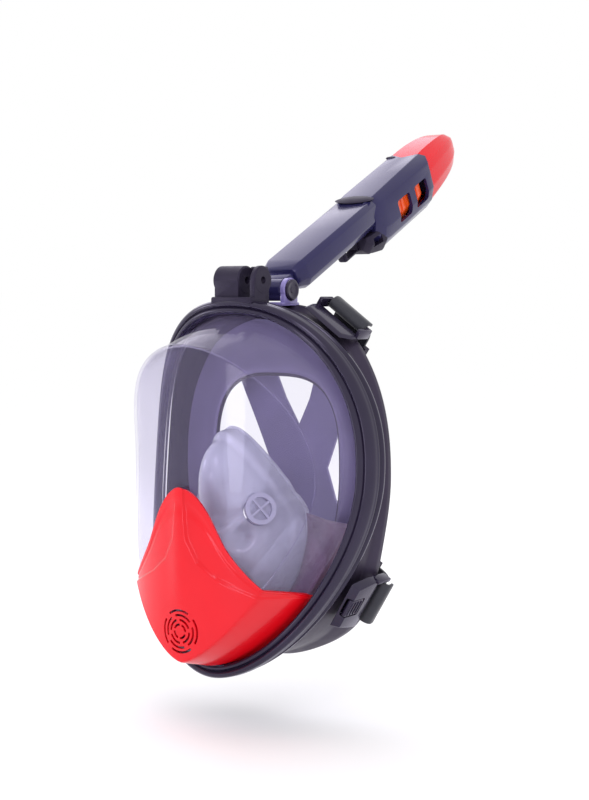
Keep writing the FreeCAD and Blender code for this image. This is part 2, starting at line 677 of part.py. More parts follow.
def make_camera_bracket():
    """A boss with a trapped nut and a plain ear, bored for one cross screw."""
    y, z, radius = size.camera_y, size.camera_z, size.ear_radius
    boss = cylinder("camera_boss", radius, size.gap_left - size.boss_left,
                    (size.boss_left, y, z), "x")
    boss_foot = box("camera_boss_foot", (size.boss_left + 1.5, y - radius, 121.6),
                    (size.gap_left, y + radius - 3, z))
    ear = cylinder("camera_ear", radius, size.ear_right - size.gap_right,
                   (size.gap_right, y, z), "x")
    ear_foot = box("camera_ear_foot", (size.gap_right, y - radius, 121.6),
                   (size.ear_right, y + radius - 3, z))
    base = box("camera_base", (size.boss_left + 1.5, y - radius - 4, 119),
               (size.ear_right, y + radius - 6, 124.5))
    bridge = box("camera_bridge", (size.gap_left - 1, y + radius - 6, z + 4),
                 (size.gap_right + 1, y + radius - 2.2, z + 9))
    bore = cylinder("camera_bore", size.screw_bore, 60, (-30, y, z), "x")
    nut_room = doc.addObject("Part::Prism", "nut_room")
    nut_room.Polygon = 6
    bind(nut_room, "Circumradius", size.nut_across / 1.732 + 0.1)
    bind(nut_room, "Height", size.nut_depth + 1)
    bind_place(nut_room, (size.boss_left - 1, y, z), ALONG["x"])
    whole = fuse("camera_bracket", boss, boss_foot, ear, ear_foot, base, bridge)
    frame_room = doc.addObject("Part::Feature", "camera_frame_room")
    frame_room.Shape = egg_block(-0.1, FAR_FRONT, FAR_BACK).common(behind_bow(-0.1)).cut(
        behind_bow(rear_frame_end + 0.1))
    finish(cut("camera_bracket", whole, bore, nut_room, frame_room), "camera_bracket")
    nut = doc.addObject("Part::Prism", "nut_block")
    nut.Polygon = 6
    bind(nut, "Circumradius", size.nut_across / 1.732)
    bind(nut, "Height", size.nut_depth - 0.2)
    bind_place(nut, (size.boss_left + 0.1, y, z), ALONG["x"])
    nut_bore = cylinder("nut_bore", size.screw_bore, 60, (-30, y, z), "x")
    finish(cut("camera_nut", nut, nut_bore), "camera_nut")


# ---------------------------------------------------------------- straps

def lug_places():
    """Each lug's name, its place, and whether it is a lower one.

    In a lug's own axes X runs along the mask's outline, Y to the rear and Z outwards.
    """
    for level, x, z, turn in (("upper", plain.upper_lug_x, plain.upper_lug_z,
                               plain.upper_lug_turn),
                              ("lower", plain.lower_lug_x, plain.lower_lug_z,
                               plain.lower_lug_turn)):
        for side, name in ((1, "left"), (-1, "right")):
            place = Placement(Vector(side * x, 0, z), Rotation(Vector(0, 1, 0), side * turn))
            yield f"{level}_{name}", place, level == "lower"


def make_lug(name, place, lower):
    """A bracket on the rear frame with a cross bar that a strap is looped around."""
    half = size.strap_width / 2
    height = 6.5 if lower else 2.5
    parts = [box(f"lug_plate_{name}", (-half - 4, -60, -2), (half + 4, -9, height)),
             box(f"lug_bar_{name}", (-half - 4, -1, 4.2), (half + 4, 3, 7.7))]
    for side, low in ((0, -half - 4), (1, half + 1)):
        parts.append(box(f"lug_post_{name}_{side}", (low, -12, -2), (low + 3, 3, 7.7)))
    whole = fuse(f"lug_{name}", *parts)
    if lower:
        button_room = box(f"button_room_{name}", (-7.4, -34.4, 1), (7.4, -17.6, 8))
        whole = cut(f"lug_button_{name}", whole, button_room)
    whole.Placement = place
    skirt = doc.addObject("Part::Feature", f"lug_skirt_{name}")
    skirt.Shape = egg_block(plain.skirt_flare_inset - 0.1, FAR_FRONT, FAR_BACK)
    frame = doc.addObject("Part::Feature", f"lug_frame_{name}")
    frame.Shape = behind_bow(rear_frame_end + 0.05)
    behind = doc.addObject("Part::Common", f"lug_behind_{name}")
    behind.Base = whole
    behind.Tool = frame
    finish(cut(f"strap_lug_{name}", behind, skirt), f"strap_lug_{name}")
    if lower:
        button = new_body(f"button_{name}")
        outline = rectangle(-7, 7, -34, -18)
        solid = pad(button, polygon_sketch(button, "XY_Plane", outline, 3), 4.6)
        fillet(button, solid, runs_along_z, 2)
        finish(button, f"release_button_{name}", place)


TAIL_END = -22


def make_strap(name, place):
    """A band looped around the lug's bar that turns inwards behind the mask, and its slider."""
    half, deep = size.strap_width / 2, size.strap_depth
    loop = box(f"strap_loop_{name}", (-half, -3.2, 2), (half, 5.4, 9.9))
    hole = box(f"strap_hole_{name}", (-half - 1, -1.3, 3.9), (half + 1, 3.4, 8))
    tail = new_body(f"strap_tail_{name}")
    outline = [(5, 2), (8, 1.2), (9.8, -0.8), (10.6, -4), (10.6, TAIL_END),
               (10.6 + deep, TAIL_END), (10.6 + deep, -3.4), (11.8, 0.6), (9.2, 3.4), (5, 4.4)]
    pad(tail, polygon_sketch(tail, "YZ_Plane", outline, -half), half * 2)
    band = fuse(f"strap_{name}", cut(f"strap_loop_open_{name}", loop, hole), tail)
    finish(band, f"strap_{name}", place)
    frame = box(f"slider_frame_{name}", (-half - 3, 9, -19), (half + 3, 14.4, -9))
    slot = box(f"slider_slot_{name}", (-half - 0.2, 10.5, -20), (half + 0.2, 10.7 + deep, -8))
    finish(cut(f"slider_{name}", frame, slot), f"strap_slider_{name}", place)


# the left half of the harness from the middle of its top notch round to its bottom notch
HARNESS_EDGE = ((0, 30), (11, 50), (20, 74), (26.4, 97.7), (54.9, 77.8), (47, 54), (36, 27),
                (25, 0), (33, -22), (45, -41), (64, -59), (46, -88.8), (30, -69),
                (14, -49), (0, -36))


def make_harness():
    """A cross of soft sheet, cut from a very large sphere behind the face opening."""
    left = [Vector(x, 0, z) for x, z in HARNESS_EDGE]
    right = [Vector(-x, 0, z) for x, z in reversed(HARNESS_EDGE[1:-1])]
    outline = Part.Face(Part.makePolygon(left + right + left[:1]))
    centre = Vector(0, plain.harness_y - plain.harness_radius, 0)
    half_depth = plain.strap_depth / 2
    sheet_ball = Part.makeSphere(plain.harness_radius + half_depth, centre).cut(
        Part.makeSphere(plain.harness_radius - half_depth, centre))
    shape_part("head_harness", outline.extrude(Vector(0, 60, 0)).common(sheet_ball))


def make_straps():
    for name, place, lower in lug_places():
        make_lug(name, place, lower)
        make_strap(name, place)


make_frames()
make_lens()
make_skirt()
make_pocket()
make_inhale_valves()
make_exhaust_valve()
make_chin_cover()
make_hinge()
make_tube()
make_head()
make_float()
make_top_cap()
make_cage()
make_camera_bracket()
make_straps()
make_harness()

doc.recompute()
for feature in doc.Objects:
    if {"Invalid", "Error"} & set(feature.State):
        raise RuntimeError(f"{feature.Name} failed: {feature.State}")
for feature in sub_parts:
    shape = feature.Shape
    if shape.isNull() or not shape.isValid() or not shape.Solids:
        raise RuntimeError(f"{feature.Label} has no valid solid")
    shape.exportStep(os.path.join("parts", feature.Label + ".step"))
    print(feature.Label, len(shape.Solids), round(shape.Volume), shape.BoundBox)
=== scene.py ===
import json
import math

import bmesh
import bpy
from bpy.props import FloatProperty, FloatVectorProperty, PointerProperty
from mathutils import Matrix, Vector


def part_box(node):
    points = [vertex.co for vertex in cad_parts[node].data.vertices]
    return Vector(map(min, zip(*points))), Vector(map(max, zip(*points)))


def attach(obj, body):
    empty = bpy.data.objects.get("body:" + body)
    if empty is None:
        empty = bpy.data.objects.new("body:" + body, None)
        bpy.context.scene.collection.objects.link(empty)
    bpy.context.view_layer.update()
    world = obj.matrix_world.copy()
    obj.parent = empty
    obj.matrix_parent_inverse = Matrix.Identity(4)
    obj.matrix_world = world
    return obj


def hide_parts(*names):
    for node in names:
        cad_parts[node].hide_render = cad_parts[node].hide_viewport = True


bl_info = {
    "name": "Full Face Snorkel Mask",
    "version": (1, 0, 0),
    "blender": (4, 5, 0),
    "location": "3D View > Sidebar > Snorkel Mask",
    "description": "Builds the finished surfaces of a full face snorkel mask around its frame",
    "category": "Mesh",
}

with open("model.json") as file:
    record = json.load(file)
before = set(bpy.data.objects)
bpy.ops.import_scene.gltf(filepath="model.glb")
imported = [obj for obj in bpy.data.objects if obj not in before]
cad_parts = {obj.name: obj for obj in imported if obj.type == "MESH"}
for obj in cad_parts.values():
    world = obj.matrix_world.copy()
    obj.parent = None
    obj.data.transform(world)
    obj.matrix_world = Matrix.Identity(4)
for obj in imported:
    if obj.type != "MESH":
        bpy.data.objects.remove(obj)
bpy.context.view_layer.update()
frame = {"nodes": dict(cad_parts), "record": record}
MM = 0.001


def node_box(name):
    """A frame node's lowest and highest corner, in millimetres."""
    low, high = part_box(name)
    return low / MM, high / MM


# ---------------------------------------------------------------- the mask's main lines
# Millimetres: +Z up, -Y to the front, +X the wearer's left.

FRAME_LOW, FRAME_HIGH = node_box("front_frame")
HALF_WIDTH, RISE, DROP = (FRAME_HIGH.x - FRAME_LOW.x) / 2, FRAME_HIGH.z, 137.0
TOP_POWER, BOTTOM_POWER = 2.3, 1.87
FRAME_SIDE = -30.0
BOW_RADIUS = 129.7
BOW_LEAN = 0.09
LENS_BACK, LENS_FRONT = (90.5, 126.5, 146.5, -8.0), (70.0, 90.0, 116.0, -120.0)
LENS_TOP_SHARPENS, LENS_CHIN_SHARPENS = -0.35, -0.35
LENS_RADIUS, LENS_AXIS = 94.0, -19.0
FACE = (54.0, 67.0, 106.0, 0.8)
INHALE = Vector((28.2, -64, -20))
POCKET_CENTRE, POCKET_RADII = Vector((0, -22, -45)), Vector((44, 62, 70))
EXHAUST_Z = -99.0
HINGE = Vector((0, -14, 129))
REST_LEAN = math.radians(-62.5)
SNORKEL = Matrix.Translation(HINGE) @ Matrix.Rotation(REST_LEAN, 4, "X")


def outline(turn, half_width, rise, drop, top_extra=0.0, bottom_extra=0.0):
    """A point on an egg: one power of the ellipse above the middle, another below it."""
    angle = 2 * math.pi * turn
    across, up = math.cos(angle), math.sin(angle)
    if up >= 0:
        power, height = TOP_POWER + top_extra, rise
    else:
        power, height = BOTTOM_POWER + bottom_extra, drop
    x = half_width * math.copysign(abs(across) ** (2 / power), across)
    return x, height * math.copysign(abs(up) ** (2 / power), up)


def inset_outline(turn, inset):
    """A point on the frame's outline moved inwards."""
    return outline(turn, HALF_WIDTH - inset, RISE - inset, DROP - inset)


def bow(x, z):
    """The Y of the frame's bowed front surface."""
    axis = FRAME_SIDE + math.sqrt(BOW_RADIUS ** 2 - HALF_WIDTH ** 2)
    return axis - math.sqrt(max(BOW_RADIUS ** 2 - x * x, 1)) + BOW_LEAN * z


def lens_panel(x, grow=0.0):
    """The Y of the lens's front panel, moved outwards by grow."""
    radius = LENS_RADIUS + grow
    return LENS_AXIS - math.sqrt(max(radius ** 2 - x * x, 1))


def lens_wall(turn, share):
    """A point on the lens's sloping side wall: share 0 is its back and 1 its front."""
    sizes = [back + (front - back) * share for back, front in zip(LENS_BACK, LENS_FRONT)]
    x, z = outline(turn, *sizes[:3], LENS_TOP_SHARPENS * share, LENS_CHIN_SHARPENS * share)
    return Vector((x, sizes[3], z))


def crossing(test):
    """Where a test that starts true turns false, as a share from 0 to 1."""
    low, high = 0.0, 1.0
    for _ in range(24):
        middle = (low + high) / 2
        low, high = (middle, high) if test(middle) else (low, middle)
    return low


def spline(points, share, closed=False):
    """A smooth line through a few points, at a share from 0 to 1 of its length."""
    count = len(points)
    spans = count if closed else count - 1
    place = share * spans
    first = min(int(place), spans - 1)
    t = place - first

    def pick(index):
        return Vector(points[index % count] if closed else points[min(max(index, 0), count - 1)])

    a, b, c, d = (pick(first + step) for step in (-1, 0, 1, 2))
    return (b * 2 + (c - a) * t + (a * 2 - b * 5 + c * 4 - d) * t * t
            + (b * 3 - a - c * 3 + d) * t ** 3) / 2


def smooth(low, high, value):
    """0 below low and 1 above high, with a soft step between; reversed when low is the larger."""
    t = min(max((value - low) / (high - low), 0), 1)
    return t * t * (3 - 2 * t)


def bump(value, width):
    """1 where the value is 0, fading to nothing over about twice the width."""
    return math.exp(-(value / width) ** 2)


# ---------------------------------------------------------------- mesh helpers

def surface(columns, rows, place):
    """A sheet of quads whose points a function places from two shares, closed where they meet."""
    mesh = bmesh.new()
    bmesh.ops.create_grid(mesh, x_segments=columns, y_segments=rows, size=0.5)
    for vert in mesh.verts:
        vert.co = place(vert.co.x + 0.5, vert.co.y + 0.5)
    bmesh.ops.remove_doubles(mesh, verts=mesh.verts, dist=0.002)
    return mesh


def along_polygon(corners, share):
    """A point on a closed polygon, where every side takes an equal share."""
    place = (share % 1) * len(corners)
    first = int(place)
    start, end = corners[first % len(corners)], corners[(first + 1) % len(corners)]
    t = place - first
    return start[0] + (end[0] - start[0]) * t, start[1] + (end[1] - start[1]) * t


def stack(sections, per_side=1, rows_between=1):
    """A closed solid through polygons of equal corner counts, each with its height."""
    corners = len(sections[0][1])
    spans = len(sections) - 1

    def place(u, v):
        at = min(v * spans, spans - 1e-6)
        index = int(at)
        t = at - index
        (low, first), (high, second) = sections[index], sections[index + 1]
        x0, y0 = along_polygon(first, u)
        x1, y1 = along_polygon(second, u)
        return Vector((x0 + (x1 - x0) * t, y0 + (y1 - y0) * t, low + (high - low) * t))

    mesh = surface(corners * per_side, spans * rows_between, place)
    bmesh.ops.holes_fill(mesh, edges=mesh.edges, sides=0)
    return mesh


def block(low, high):
    """A box between two corners, for a cutter or for soften to round."""
    mesh = bmesh.new()
    low, high = Vector(low), Vector(high)
    bmesh.ops.create_cube(mesh, size=1)
    bmesh.ops.scale(mesh, vec=high - low, verts=mesh.verts)
    bmesh.ops.translate(mesh, vec=(low + high) / 2, verts=mesh.verts)
    return mesh


def turned(profile, steps=48):
    """A solid of revolution about Z from (radius, height) corners that start and end on the axis
    or, for a ring, close on themselves."""
    mesh = bmesh.new()
    verts = [mesh.verts.new((radius, 0, height)) for radius, height in profile]
    ring = profile[0][0] > 0.01
    pairs = list(zip(verts, verts[1:])) + ([(verts[-1], verts[0])] if ring else [])
    edges = [mesh.edges.new(pair) for pair in pairs]
    bmesh.ops.spin(mesh, geom=verts + edges, cent=(0, 0, 0), axis=(0, 0, 1),
                   angle=2 * math.pi, steps=steps, use_merge=True)
    bmesh.ops.remove_doubles(mesh, verts=mesh.verts, dist=0.001)
    return mesh


def move(mesh, matrix):
    """Transform a whole mesh and hand it back."""
    bmesh.ops.transform(mesh, matrix=matrix, verts=mesh.verts)
    return mesh


def join(*meshes):
    """Put meshes together in the first of them."""
    whole = meshes[0]
    for extra in meshes[1:]:
        data = bpy.data.meshes.new("joined")
        extra.to_mesh(data)
        extra.free()
        whole.from_mesh(data)
        bpy.data.meshes.remove(data)
    return whole


def soften(mesh, width, segments=2, angle=30):
    """Round every edge sharper than an angle."""
    bmesh.ops.recalc_face_normals(mesh, faces=mesh.faces)
    limit = math.radians(angle)
    edges = [e for e in mesh.edges if len(e.link_faces) == 2 and e.calc_face_angle() > limit]
    bmesh.ops.bevel(mesh, geom=edges, offset=width, offset_type="OFFSET", segments=segments,
                    profile=0.5, affect="EDGES", material=-1, clamp_overlap=True)
    return mesh


def to_object(name, mesh):
    """Turn a mesh drawn in millimetres into an object in metres."""
    bmesh.ops.recalc_face_normals(mesh, faces=mesh.faces)
    bmesh.ops.scale(mesh, vec=(MM, MM, MM), verts=mesh.verts)
    data = bpy.data.meshes.new(name)
    mesh.to_mesh(data)
    mesh.free()
    piece = bpy.data.objects.new(name, data)
    bpy.context.scene.collection.objects.link(piece)
    return piece


def add_to(piece, mesh):
    """Add a mesh drawn in millimetres to a piece that has been carved.

    The cut is only dependable on a piece whose parts don't overlap, so they are added after it.
    """
    bmesh.ops.recalc_face_normals(mesh, faces=mesh.faces)
    bmesh.ops.scale(mesh, vec=(MM, MM, MM), verts=mesh.verts)
    mesh.from_mesh(piece.data)
    mesh.to_mesh(piece.data)
    mesh.free()


def shell(piece, thickness):
    """Give a sheet a wall, in millimetres, on its inner side."""
    wall = piece.modifiers.new("wall", "SOLIDIFY")
    wall.thickness = thickness * MM
    wall.offset = -1


def apply_modifiers(piece):
    """Replace the mesh with what its modifiers make of it."""
    graph = bpy.context.evaluated_depsgraph_get()
    data = bpy.data.meshes.new_from_object(piece.evaluated_get(graph))
    piece.modifiers.clear()
    piece.data = data


def carve(piece, *cutters, merged=False):
    """Cut holes with other meshes, then drop them. Overlapping shells become one where merged."""
    tools = [to_object(f"{piece.name}_cutter", cutter) for cutter in cutters]
    for tool in tools:
        cut = piece.modifiers.new("cut", "BOOLEAN")
        cut.operation = "DIFFERENCE"
        cut.solver = "EXACT"
        cut.use_self = merged
        cut.object = tool
    apply_modifiers(piece)
    for tool in tools:
        bpy.data.objects.remove(tool)


def place_piece(piece, material, body="mask", nodes=(), angle=35):
    """Finish, ride, and stand in for the frame's own nodes."""
    piece.data.materials.clear()
    piece.data.materials.append(material)
    piece.data.shade_smooth()
    piece.data.set_sharp_from_angle(angle=math.radians(angle))
    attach(piece, body)
    if nodes:
        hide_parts(*nodes)


# ---------------------------------------------------------------- materials

class Sock:
    """A shader socket that can be added, multiplied and so on."""

    def __init__(self, tree, socket):
        self.tree = tree
        self.socket = socket

    def _math(self, operation, first, second):
        node = self.tree.nodes.new("ShaderNodeMath")
        node.operation = operation
        for slot, value in zip(node.inputs, (first, second)):
            if isinstance(value, Sock):
                self.tree.links.new(value.socket, slot)
            else:
                slot.default_value = value
        return Sock(self.tree, node.outputs[0])

    def __add__(self, other):
        return self._math("ADD", self, other)

    def __mul__(self, other):
        return self._math("MULTIPLY", self, other)

    def __rsub__(self, other):
        return self._math("SUBTRACT", other, self)

    __radd__ = __add__
    __rmul__ = __mul__


class Finish:
    """A material under construction."""

    def __init__(self, name):
        self.material = bpy.data.materials.new(name)
        self.material.use_nodes = True
        self.tree = self.material.node_tree
        self.shader = self.tree.nodes["Principled BSDF"]
        self.output = self.tree.nodes["Material Output"]

    def node(self, kind, settings=None, **inputs):
        made = self.tree.nodes.new(kind)
        for name, value in (settings or {}).items():
            setattr(made, name, value)
        for name, value in inputs.items():
            self.feed(made.inputs[name.replace("_", " ")], value)
        return made

    def feed(self, slot, value):
        if isinstance(value, Sock):
            self.tree.links.new(value.socket, slot)
        else:
            slot.default_value = value

    def set(self, **inputs):
        for name, value in inputs.items():
            self.feed(self.shader.inputs[name.replace("_", " ")], value)
        return self

    def sock(self, node, output=0):
        return Sock(self.tree, node.outputs[output])

    def place(self):
        return self.sock(self.node("ShaderNodeTexCoord"), "Object")

    def noise(self, scale, detail=3.0, roughness=0.5):
        made = self.node("ShaderNodeTexNoise", None, Vector=self.place(), Scale=scale,
                         Detail=detail, Roughness=roughness)
        return self.sock(made, "Fac")

    def blend(self, factor, first, second):
        mix = self.node("ShaderNodeMix", {"data_type": "RGBA"})
        self.feed(mix.inputs[0], factor)
        self.feed(mix.inputs[6], (*first, 1) if len(first) == 3 else first)
        self.feed(mix.inputs[7], (*second, 1) if len(second) == 3 else second)
        return self.sock(mix, 2)

    def relief(self, height, strength, distance):
        made = self.node("ShaderNodeBump", None, Height=height, Strength=strength,
                         Distance=distance)
        return self.set(Normal=self.sock(made, "Normal"))


def scaled(colour, factor):
    """A colour made darker or lighter."""
    return tuple(min(1.0, channel * factor) for channel in colour)


def moulded(name, colour, roughness, coat, grain=900.0, relief=0.05, tone=1.5, shine=0.3,
            glint=(0.80, 0.74, 1.0)):
    """Moulded plastic: slight tone changes, handling smudges and a fine surface grain."""
    finish = Finish(name)
    clouds = finish.noise(28.0, 4.0)
    finish.set(Base_Color=finish.blend(clouds, scaled(colour, 1 / tone), scaled(colour, tone)))
    finish.set(Roughness=finish.noise(55.0, 5.0) * roughness + roughness * 0.55)
    finish.set(Coat_Weight=coat, Coat_Roughness=0.05, IOR=1.5, Specular_IOR_Level=shine)
    finish.set(Specular_Tint=(*glint, 1), Coat_Tint=(*glint, 1))
    return finish.relief(finish.noise(grain, 2.0), relief, 0.0004).material


def silicone(name, colour, clear=0.0):
    """Moulded silicone, dusty and soft, and partly see-through when clear is above zero."""
    finish = Finish(name)
    clouds = finish.noise(40.0, 5.0)
    finish.set(Base_Color=finish.blend(clouds, scaled(colour, 0.75), scaled(colour, 1.3)))
    finish.set(Roughness=finish.noise(120.0, 4.0) * 0.25 + (0.16 if clear else 0.34))
    finish.set(Coat_Weight=0.8 if clear else 0.1, Coat_Roughness=0.12, Specular_IOR_Level=0.35)
    finish.set(Specular_Tint=(0.80, 0.72, 1.0, 1))
    finish.relief(finish.noise(1400.0, 2.0), 0.06, 0.0003)
    if clear:
        see_through(finish, clear, colour, 0.25)
    return finish.material


def see_through(finish, clear, tint, edge_gain):
    """Mix the surface with clear transmission, less so where it is seen edge-on."""
    glass = finish.node("ShaderNodeBsdfTransparent")
    glass.inputs["Color"].default_value = (*scaled(tint, 1.0 / max(tint)), 1)
    edge = finish.sock(finish.node("ShaderNodeLayerWeight", None, Blend=0.5), "Facing")
    mix = finish.node("ShaderNodeMixShader")
    finish.feed(mix.inputs[0], edge * edge * edge * edge_gain + (1 - clear))
    finish.tree.links.new(glass.outputs[0], mix.inputs[1])
    finish.tree.links.new(finish.shader.outputs[0], mix.inputs[2])
    finish.tree.links.new(mix.outputs[0], finish.output.inputs["Surface"])


def lens_plastic(name, colour):
    """Clear polycarbonate with a faint violet haze and soft flow marks."""
    finish = Finish(name)
    haze = finish.noise(9.0, 2.0)
    finish.set(Base_Color=finish.blend(haze, scaled(colour, 0.8), scaled(colour, 1.2)))
    finish.set(Roughness=finish.noise(30.0, 3.0) * 0.04 + 0.02, IOR=2.4, Coat_Weight=1.0)
    finish.relief(finish.noise(14.0, 1.0), 0.08, 0.001)
    see_through(finish, 0.93, (0.972, 0.966, 0.998), 0.35)
    return finish.material


def webbing(name, colour):
    """Smooth elastic sheet with a fine knit."""
    finish = Finish(name)
    knit = finish.sock(finish.node("ShaderNodeTexVoronoi", None, Vector=finish.place(),
                                   Scale=900.0), "Distance")
    clouds = finish.noise(35.0, 4.0)
    finish.set(Base_Color=finish.blend(clouds, scaled(colour, 0.8), scaled(colour, 1.25)))
    finish.set(Roughness=finish.noise(200.0) * 0.2 + 0.5, Sheen_Weight=0.3)
    return finish.relief(knit, 0.25, 0.0003).material


def metal(name, colour):
    """Drawn metal with fine streaks."""
    finish = Finish(name)
    streaks = finish.noise(220.0, 4.0)
    finish.set(Base_Color=finish.blend(streaks, scaled(colour, 0.8), colour), Metallic=1.0)
    finish.set(Roughness=streaks * 0.2 + 0.2)
    return finish.relief(streaks, 0.1, 0.0002).material


MATERIALS = {}


def make_materials(look):
    """Make every finish, named for what it is on."""
    MATERIALS.update({
        "black_gloss": moulded("gloss black", look.frame_colour, 0.2, 0.35),
        "black_matte": moulded("satin black", look.frame_colour, 0.5, 0.0, relief=0.2),
        "clear_lens": lens_plastic("clear lens", look.lens_colour),
        "silicone_black": silicone("black silicone", look.skirt_colour),
        "silicone_clear": silicone("clear silicone", look.pocket_colour, 0.3),
        "flap": silicone("flap silicone", look.flap_colour),
        "web": silicone("web silicone", look.web_colour, 0.18),
        "red_gloss": moulded("gloss red", look.red_colour, 0.2, 0.25, relief=0.03, tone=1.08,
                             glint=(1.0, 0.72, 0.85)),
        "navy_gloss": moulded("gloss navy", look.tube_colour, 0.2, 0.2, tone=1.15),
        "lilac_gloss": moulded("smoke lilac", look.socket_colour, 0.15, 0.8, tone=1.2),
        "orange_float": moulded("orange", look.float_colour, 0.3, 0.4, tone=1.1),
        "harness_grey": webbing("harness", look.harness_colour),
        "strap_black": webbing("black strap", look.strap_colour),
        "steel": metal("steel", (0.75, 0.75, 0.78)),
        "valve_grey": moulded("valve grey", (0.42, 0.42, 0.50), 0.3, 0.3),
    })


def colour_property(name, text, default):
    return FloatVectorProperty(name=name, description=text, subtype="COLOR", size=3,
                               min=0, max=1, default=default)


def length_property(name, text, default):
    return FloatProperty(name=name, description=text, default=default, min=0, precision=4,
                         subtype="DISTANCE", unit="LENGTH")


class MaskSettings(bpy.types.PropertyGroup):
    """Colours and sizes of the mask's finished surfaces."""
    frame_colour: colour_property("Frame", "Colour of the black frame", (0.016, 0.012, 0.026))
    skirt_colour: colour_property("Skirt", "Colour of the face skirt", (0.028, 0.021, 0.040))
    lens_colour: colour_property("Lens haze", "Colour of the lens's haze", (0.40, 0.35, 0.58))
    pocket_colour: colour_property("Pocket", "Colour of the nose pocket", (0.52, 0.52, 0.62))
    red_colour: colour_property("Red", "Colour of the chin cover and cap", (0.72, 0.004, 0.010))
    tube_colour: colour_property("Tube", "Colour of the snorkel", (0.020, 0.018, 0.070))
    flap_colour: colour_property("Flap", "Colour of the inner face flap", (0.17, 0.145, 0.27))
    web_colour: colour_property("Web", "Colour of the pocket's side webs", (0.20, 0.14, 0.20))
    socket_colour: colour_property("Socket", "Colour of the hinge socket", (0.30, 0.27, 0.48))
    float_colour: colour_property("Float", "Colour of the float", (0.95, 0.10, 0.005))
    strap_colour: colour_property("Straps", "Colour of the strap loops", (0.012, 0.012, 0.022))
    harness_colour: colour_property("Harness", "Colour of the harness", (0.17, 0.14, 0.30))
    lens_thickness: length_property("Lens wall", "Wall of the lens", 0.0022)
    cover_thickness: length_property("Cover wall", "Wall of the chin cover", 0.002)
    strap_thickness: length_property("Strap", "Thickness of straps and harness", 0.0022)


# ---------------------------------------------------------------- operators

class MASK_OT_stage(bpy.types.Operator):
    """Make the materials, the pale floor, the soft lights and the camera"""
    bl_idname = "snorkel_mask.stage"
    bl_label = "Stage"
    bl_options = {"REGISTER", "UNDO"}

    def execute(self, context):
        look = context.scene.snorkel_mask
        make_materials(look)
        floor = to_object("floor", block((-200000, -200000, -186), (200000, 200000, -176)))
        paper = Finish("pale floor")
        paper.set(Base_Color=(1, 1, 1, 1), Roughness=0.9, Specular_IOR_Level=0)
        floor.data.materials.append(paper.material)
        world = bpy.data.worlds.new("studio")
        bpy.context.scene.world = world
        world.use_nodes = True
        world.node_tree.nodes["Background"].inputs[0].default_value = (1.0, 1.0, 1.0, 1)
        world.node_tree.nodes["Background"].inputs[1].default_value = 1.0
        centre = Vector((0, -0.05, 0.05))
        for name, direction, distance, size, power in (
                ("key", (0.75, -0.9, 0.75), 1.3, 0.5, 3.2),
                ("top", (-0.59, 0.42, 0.70), 1.2, 1.1, 3.6),
                ("left", (-1.0, -0.5, 0.25), 1.2, 0.4, 2.4),
                ("chin", (0.2, -1.0, -0.05), 1.4, 0.4, 1.6)):
            light = bpy.data.lights.new(name, "AREA")
            light.shape = "DISK"
            light.size = size
            light.energy = power
            light.color = (0.90, 0.86, 1.0)
            lamp = bpy.data.objects.new(name, light)
            bpy.context.scene.collection.objects.link(lamp)
            away = Vector(direction).normalized()
            lamp.location = centre + away * distance
            lamp.rotation_euler = away.to_track_quat("Z", "Y").to_euler()
        self.make_camera()
        bpy.context.scene.view_settings.view_transform = "Standard"
        return {"FINISHED"}

    def make_camera(self):
        azimuth, elevation, distance = math.radians(36.37), math.radians(3.96), 1.0334
        target = Vector((0.04694, -0.05054, 0.0543))
        back = Vector((math.sin(azimuth) * math.cos(elevation),
                       -math.cos(azimuth) * math.cos(elevation), math.sin(elevation)))
        data = bpy.data.cameras.new("camera")
        data.lens = 68.6
        data.sensor_width = 36
        camera = bpy.data.objects.new("camera", data)
        bpy.context.scene.collection.objects.link(camera)
        camera.location = target + back * distance
        camera.rotation_euler = back.to_track_quat("Z", "Y").to_euler()
        bpy.context.scene.camera = camera


# the frame's double-lipped section, as (inset from the outline, depth behind the bow)
RIM_SECTION = ((0.4, 8), (-0.1, 5), (0.1, 2.2), (1.4, 0.3), (3.0, -0.2), (4.3, 0.7), (4.9, 1.9),
               (5.6, 0.9), (6.8, 0.0), (8.2, 0.4), (9.1, 1.9), (9.3, 5), (9.0, 8))
REAR_RIM_SECTION = ((0.7, 14), (0.5, 16), (1.2, 18), (3.2, 18.6), (5.2, 18), (5.6, 16), (5.4, 14))


def bowed_sweep(section, rows):
    """Sweep a closed section of (inset, depth) points round the frame's outline."""
    def place(u, v):
        point = spline([(a, b, 0) for a, b in section], v, closed=True)
        x, z = inset_outline(u, point.x)
        return Vector((x, bow(x, z) + point.y, z))
    return surface(288, rows, place)


class MASK_OT_frame(bpy.types.Operator):
    """Make the front and rear frames"""
    bl_idname = "snorkel_mask.frame"
    bl_label = "Frames"
    bl_options = {"REGISTER", "UNDO"}

    def execute(self, context):
        rim = to_object("front_rim", bowed_sweep(RIM_SECTION, 52))
        place_piece(rim, MATERIALS["black_gloss"], nodes=["front_frame"])
        rear = to_object("rear_rim", bowed_sweep(REAR_RIM_SECTION, 28))
        place_piece(rear, MATERIALS["black_gloss"], nodes=["rear_frame"])
        return {"FINISHED"}


# how far behind the frame's front surface the lens's wall starts
WALL_START = 8.8
# the lens's rounded corner: where it leaves the wall and where it joins the panel, as shares
# of the wall's and the panel's size, and how much it stands out
CORNER_WALL, CORNER_PANEL, CORNER_BEAD = 0.028, 0.972, 0.012
# the shares of the lens's rows where its wall ends and its rounded corner ends
WALL_ROWS, CORNER_ROWS = 0.30, 0.42


def through_port(cutter, y):
    """A cutter drawn along Z, turned to run along Y through the exhaust port."""
    tilt = Matrix.Rotation(math.radians(90), 4, "X")
    return move(cutter, Matrix.Translation((0, y, EXHAUST_Z)) @ tilt)


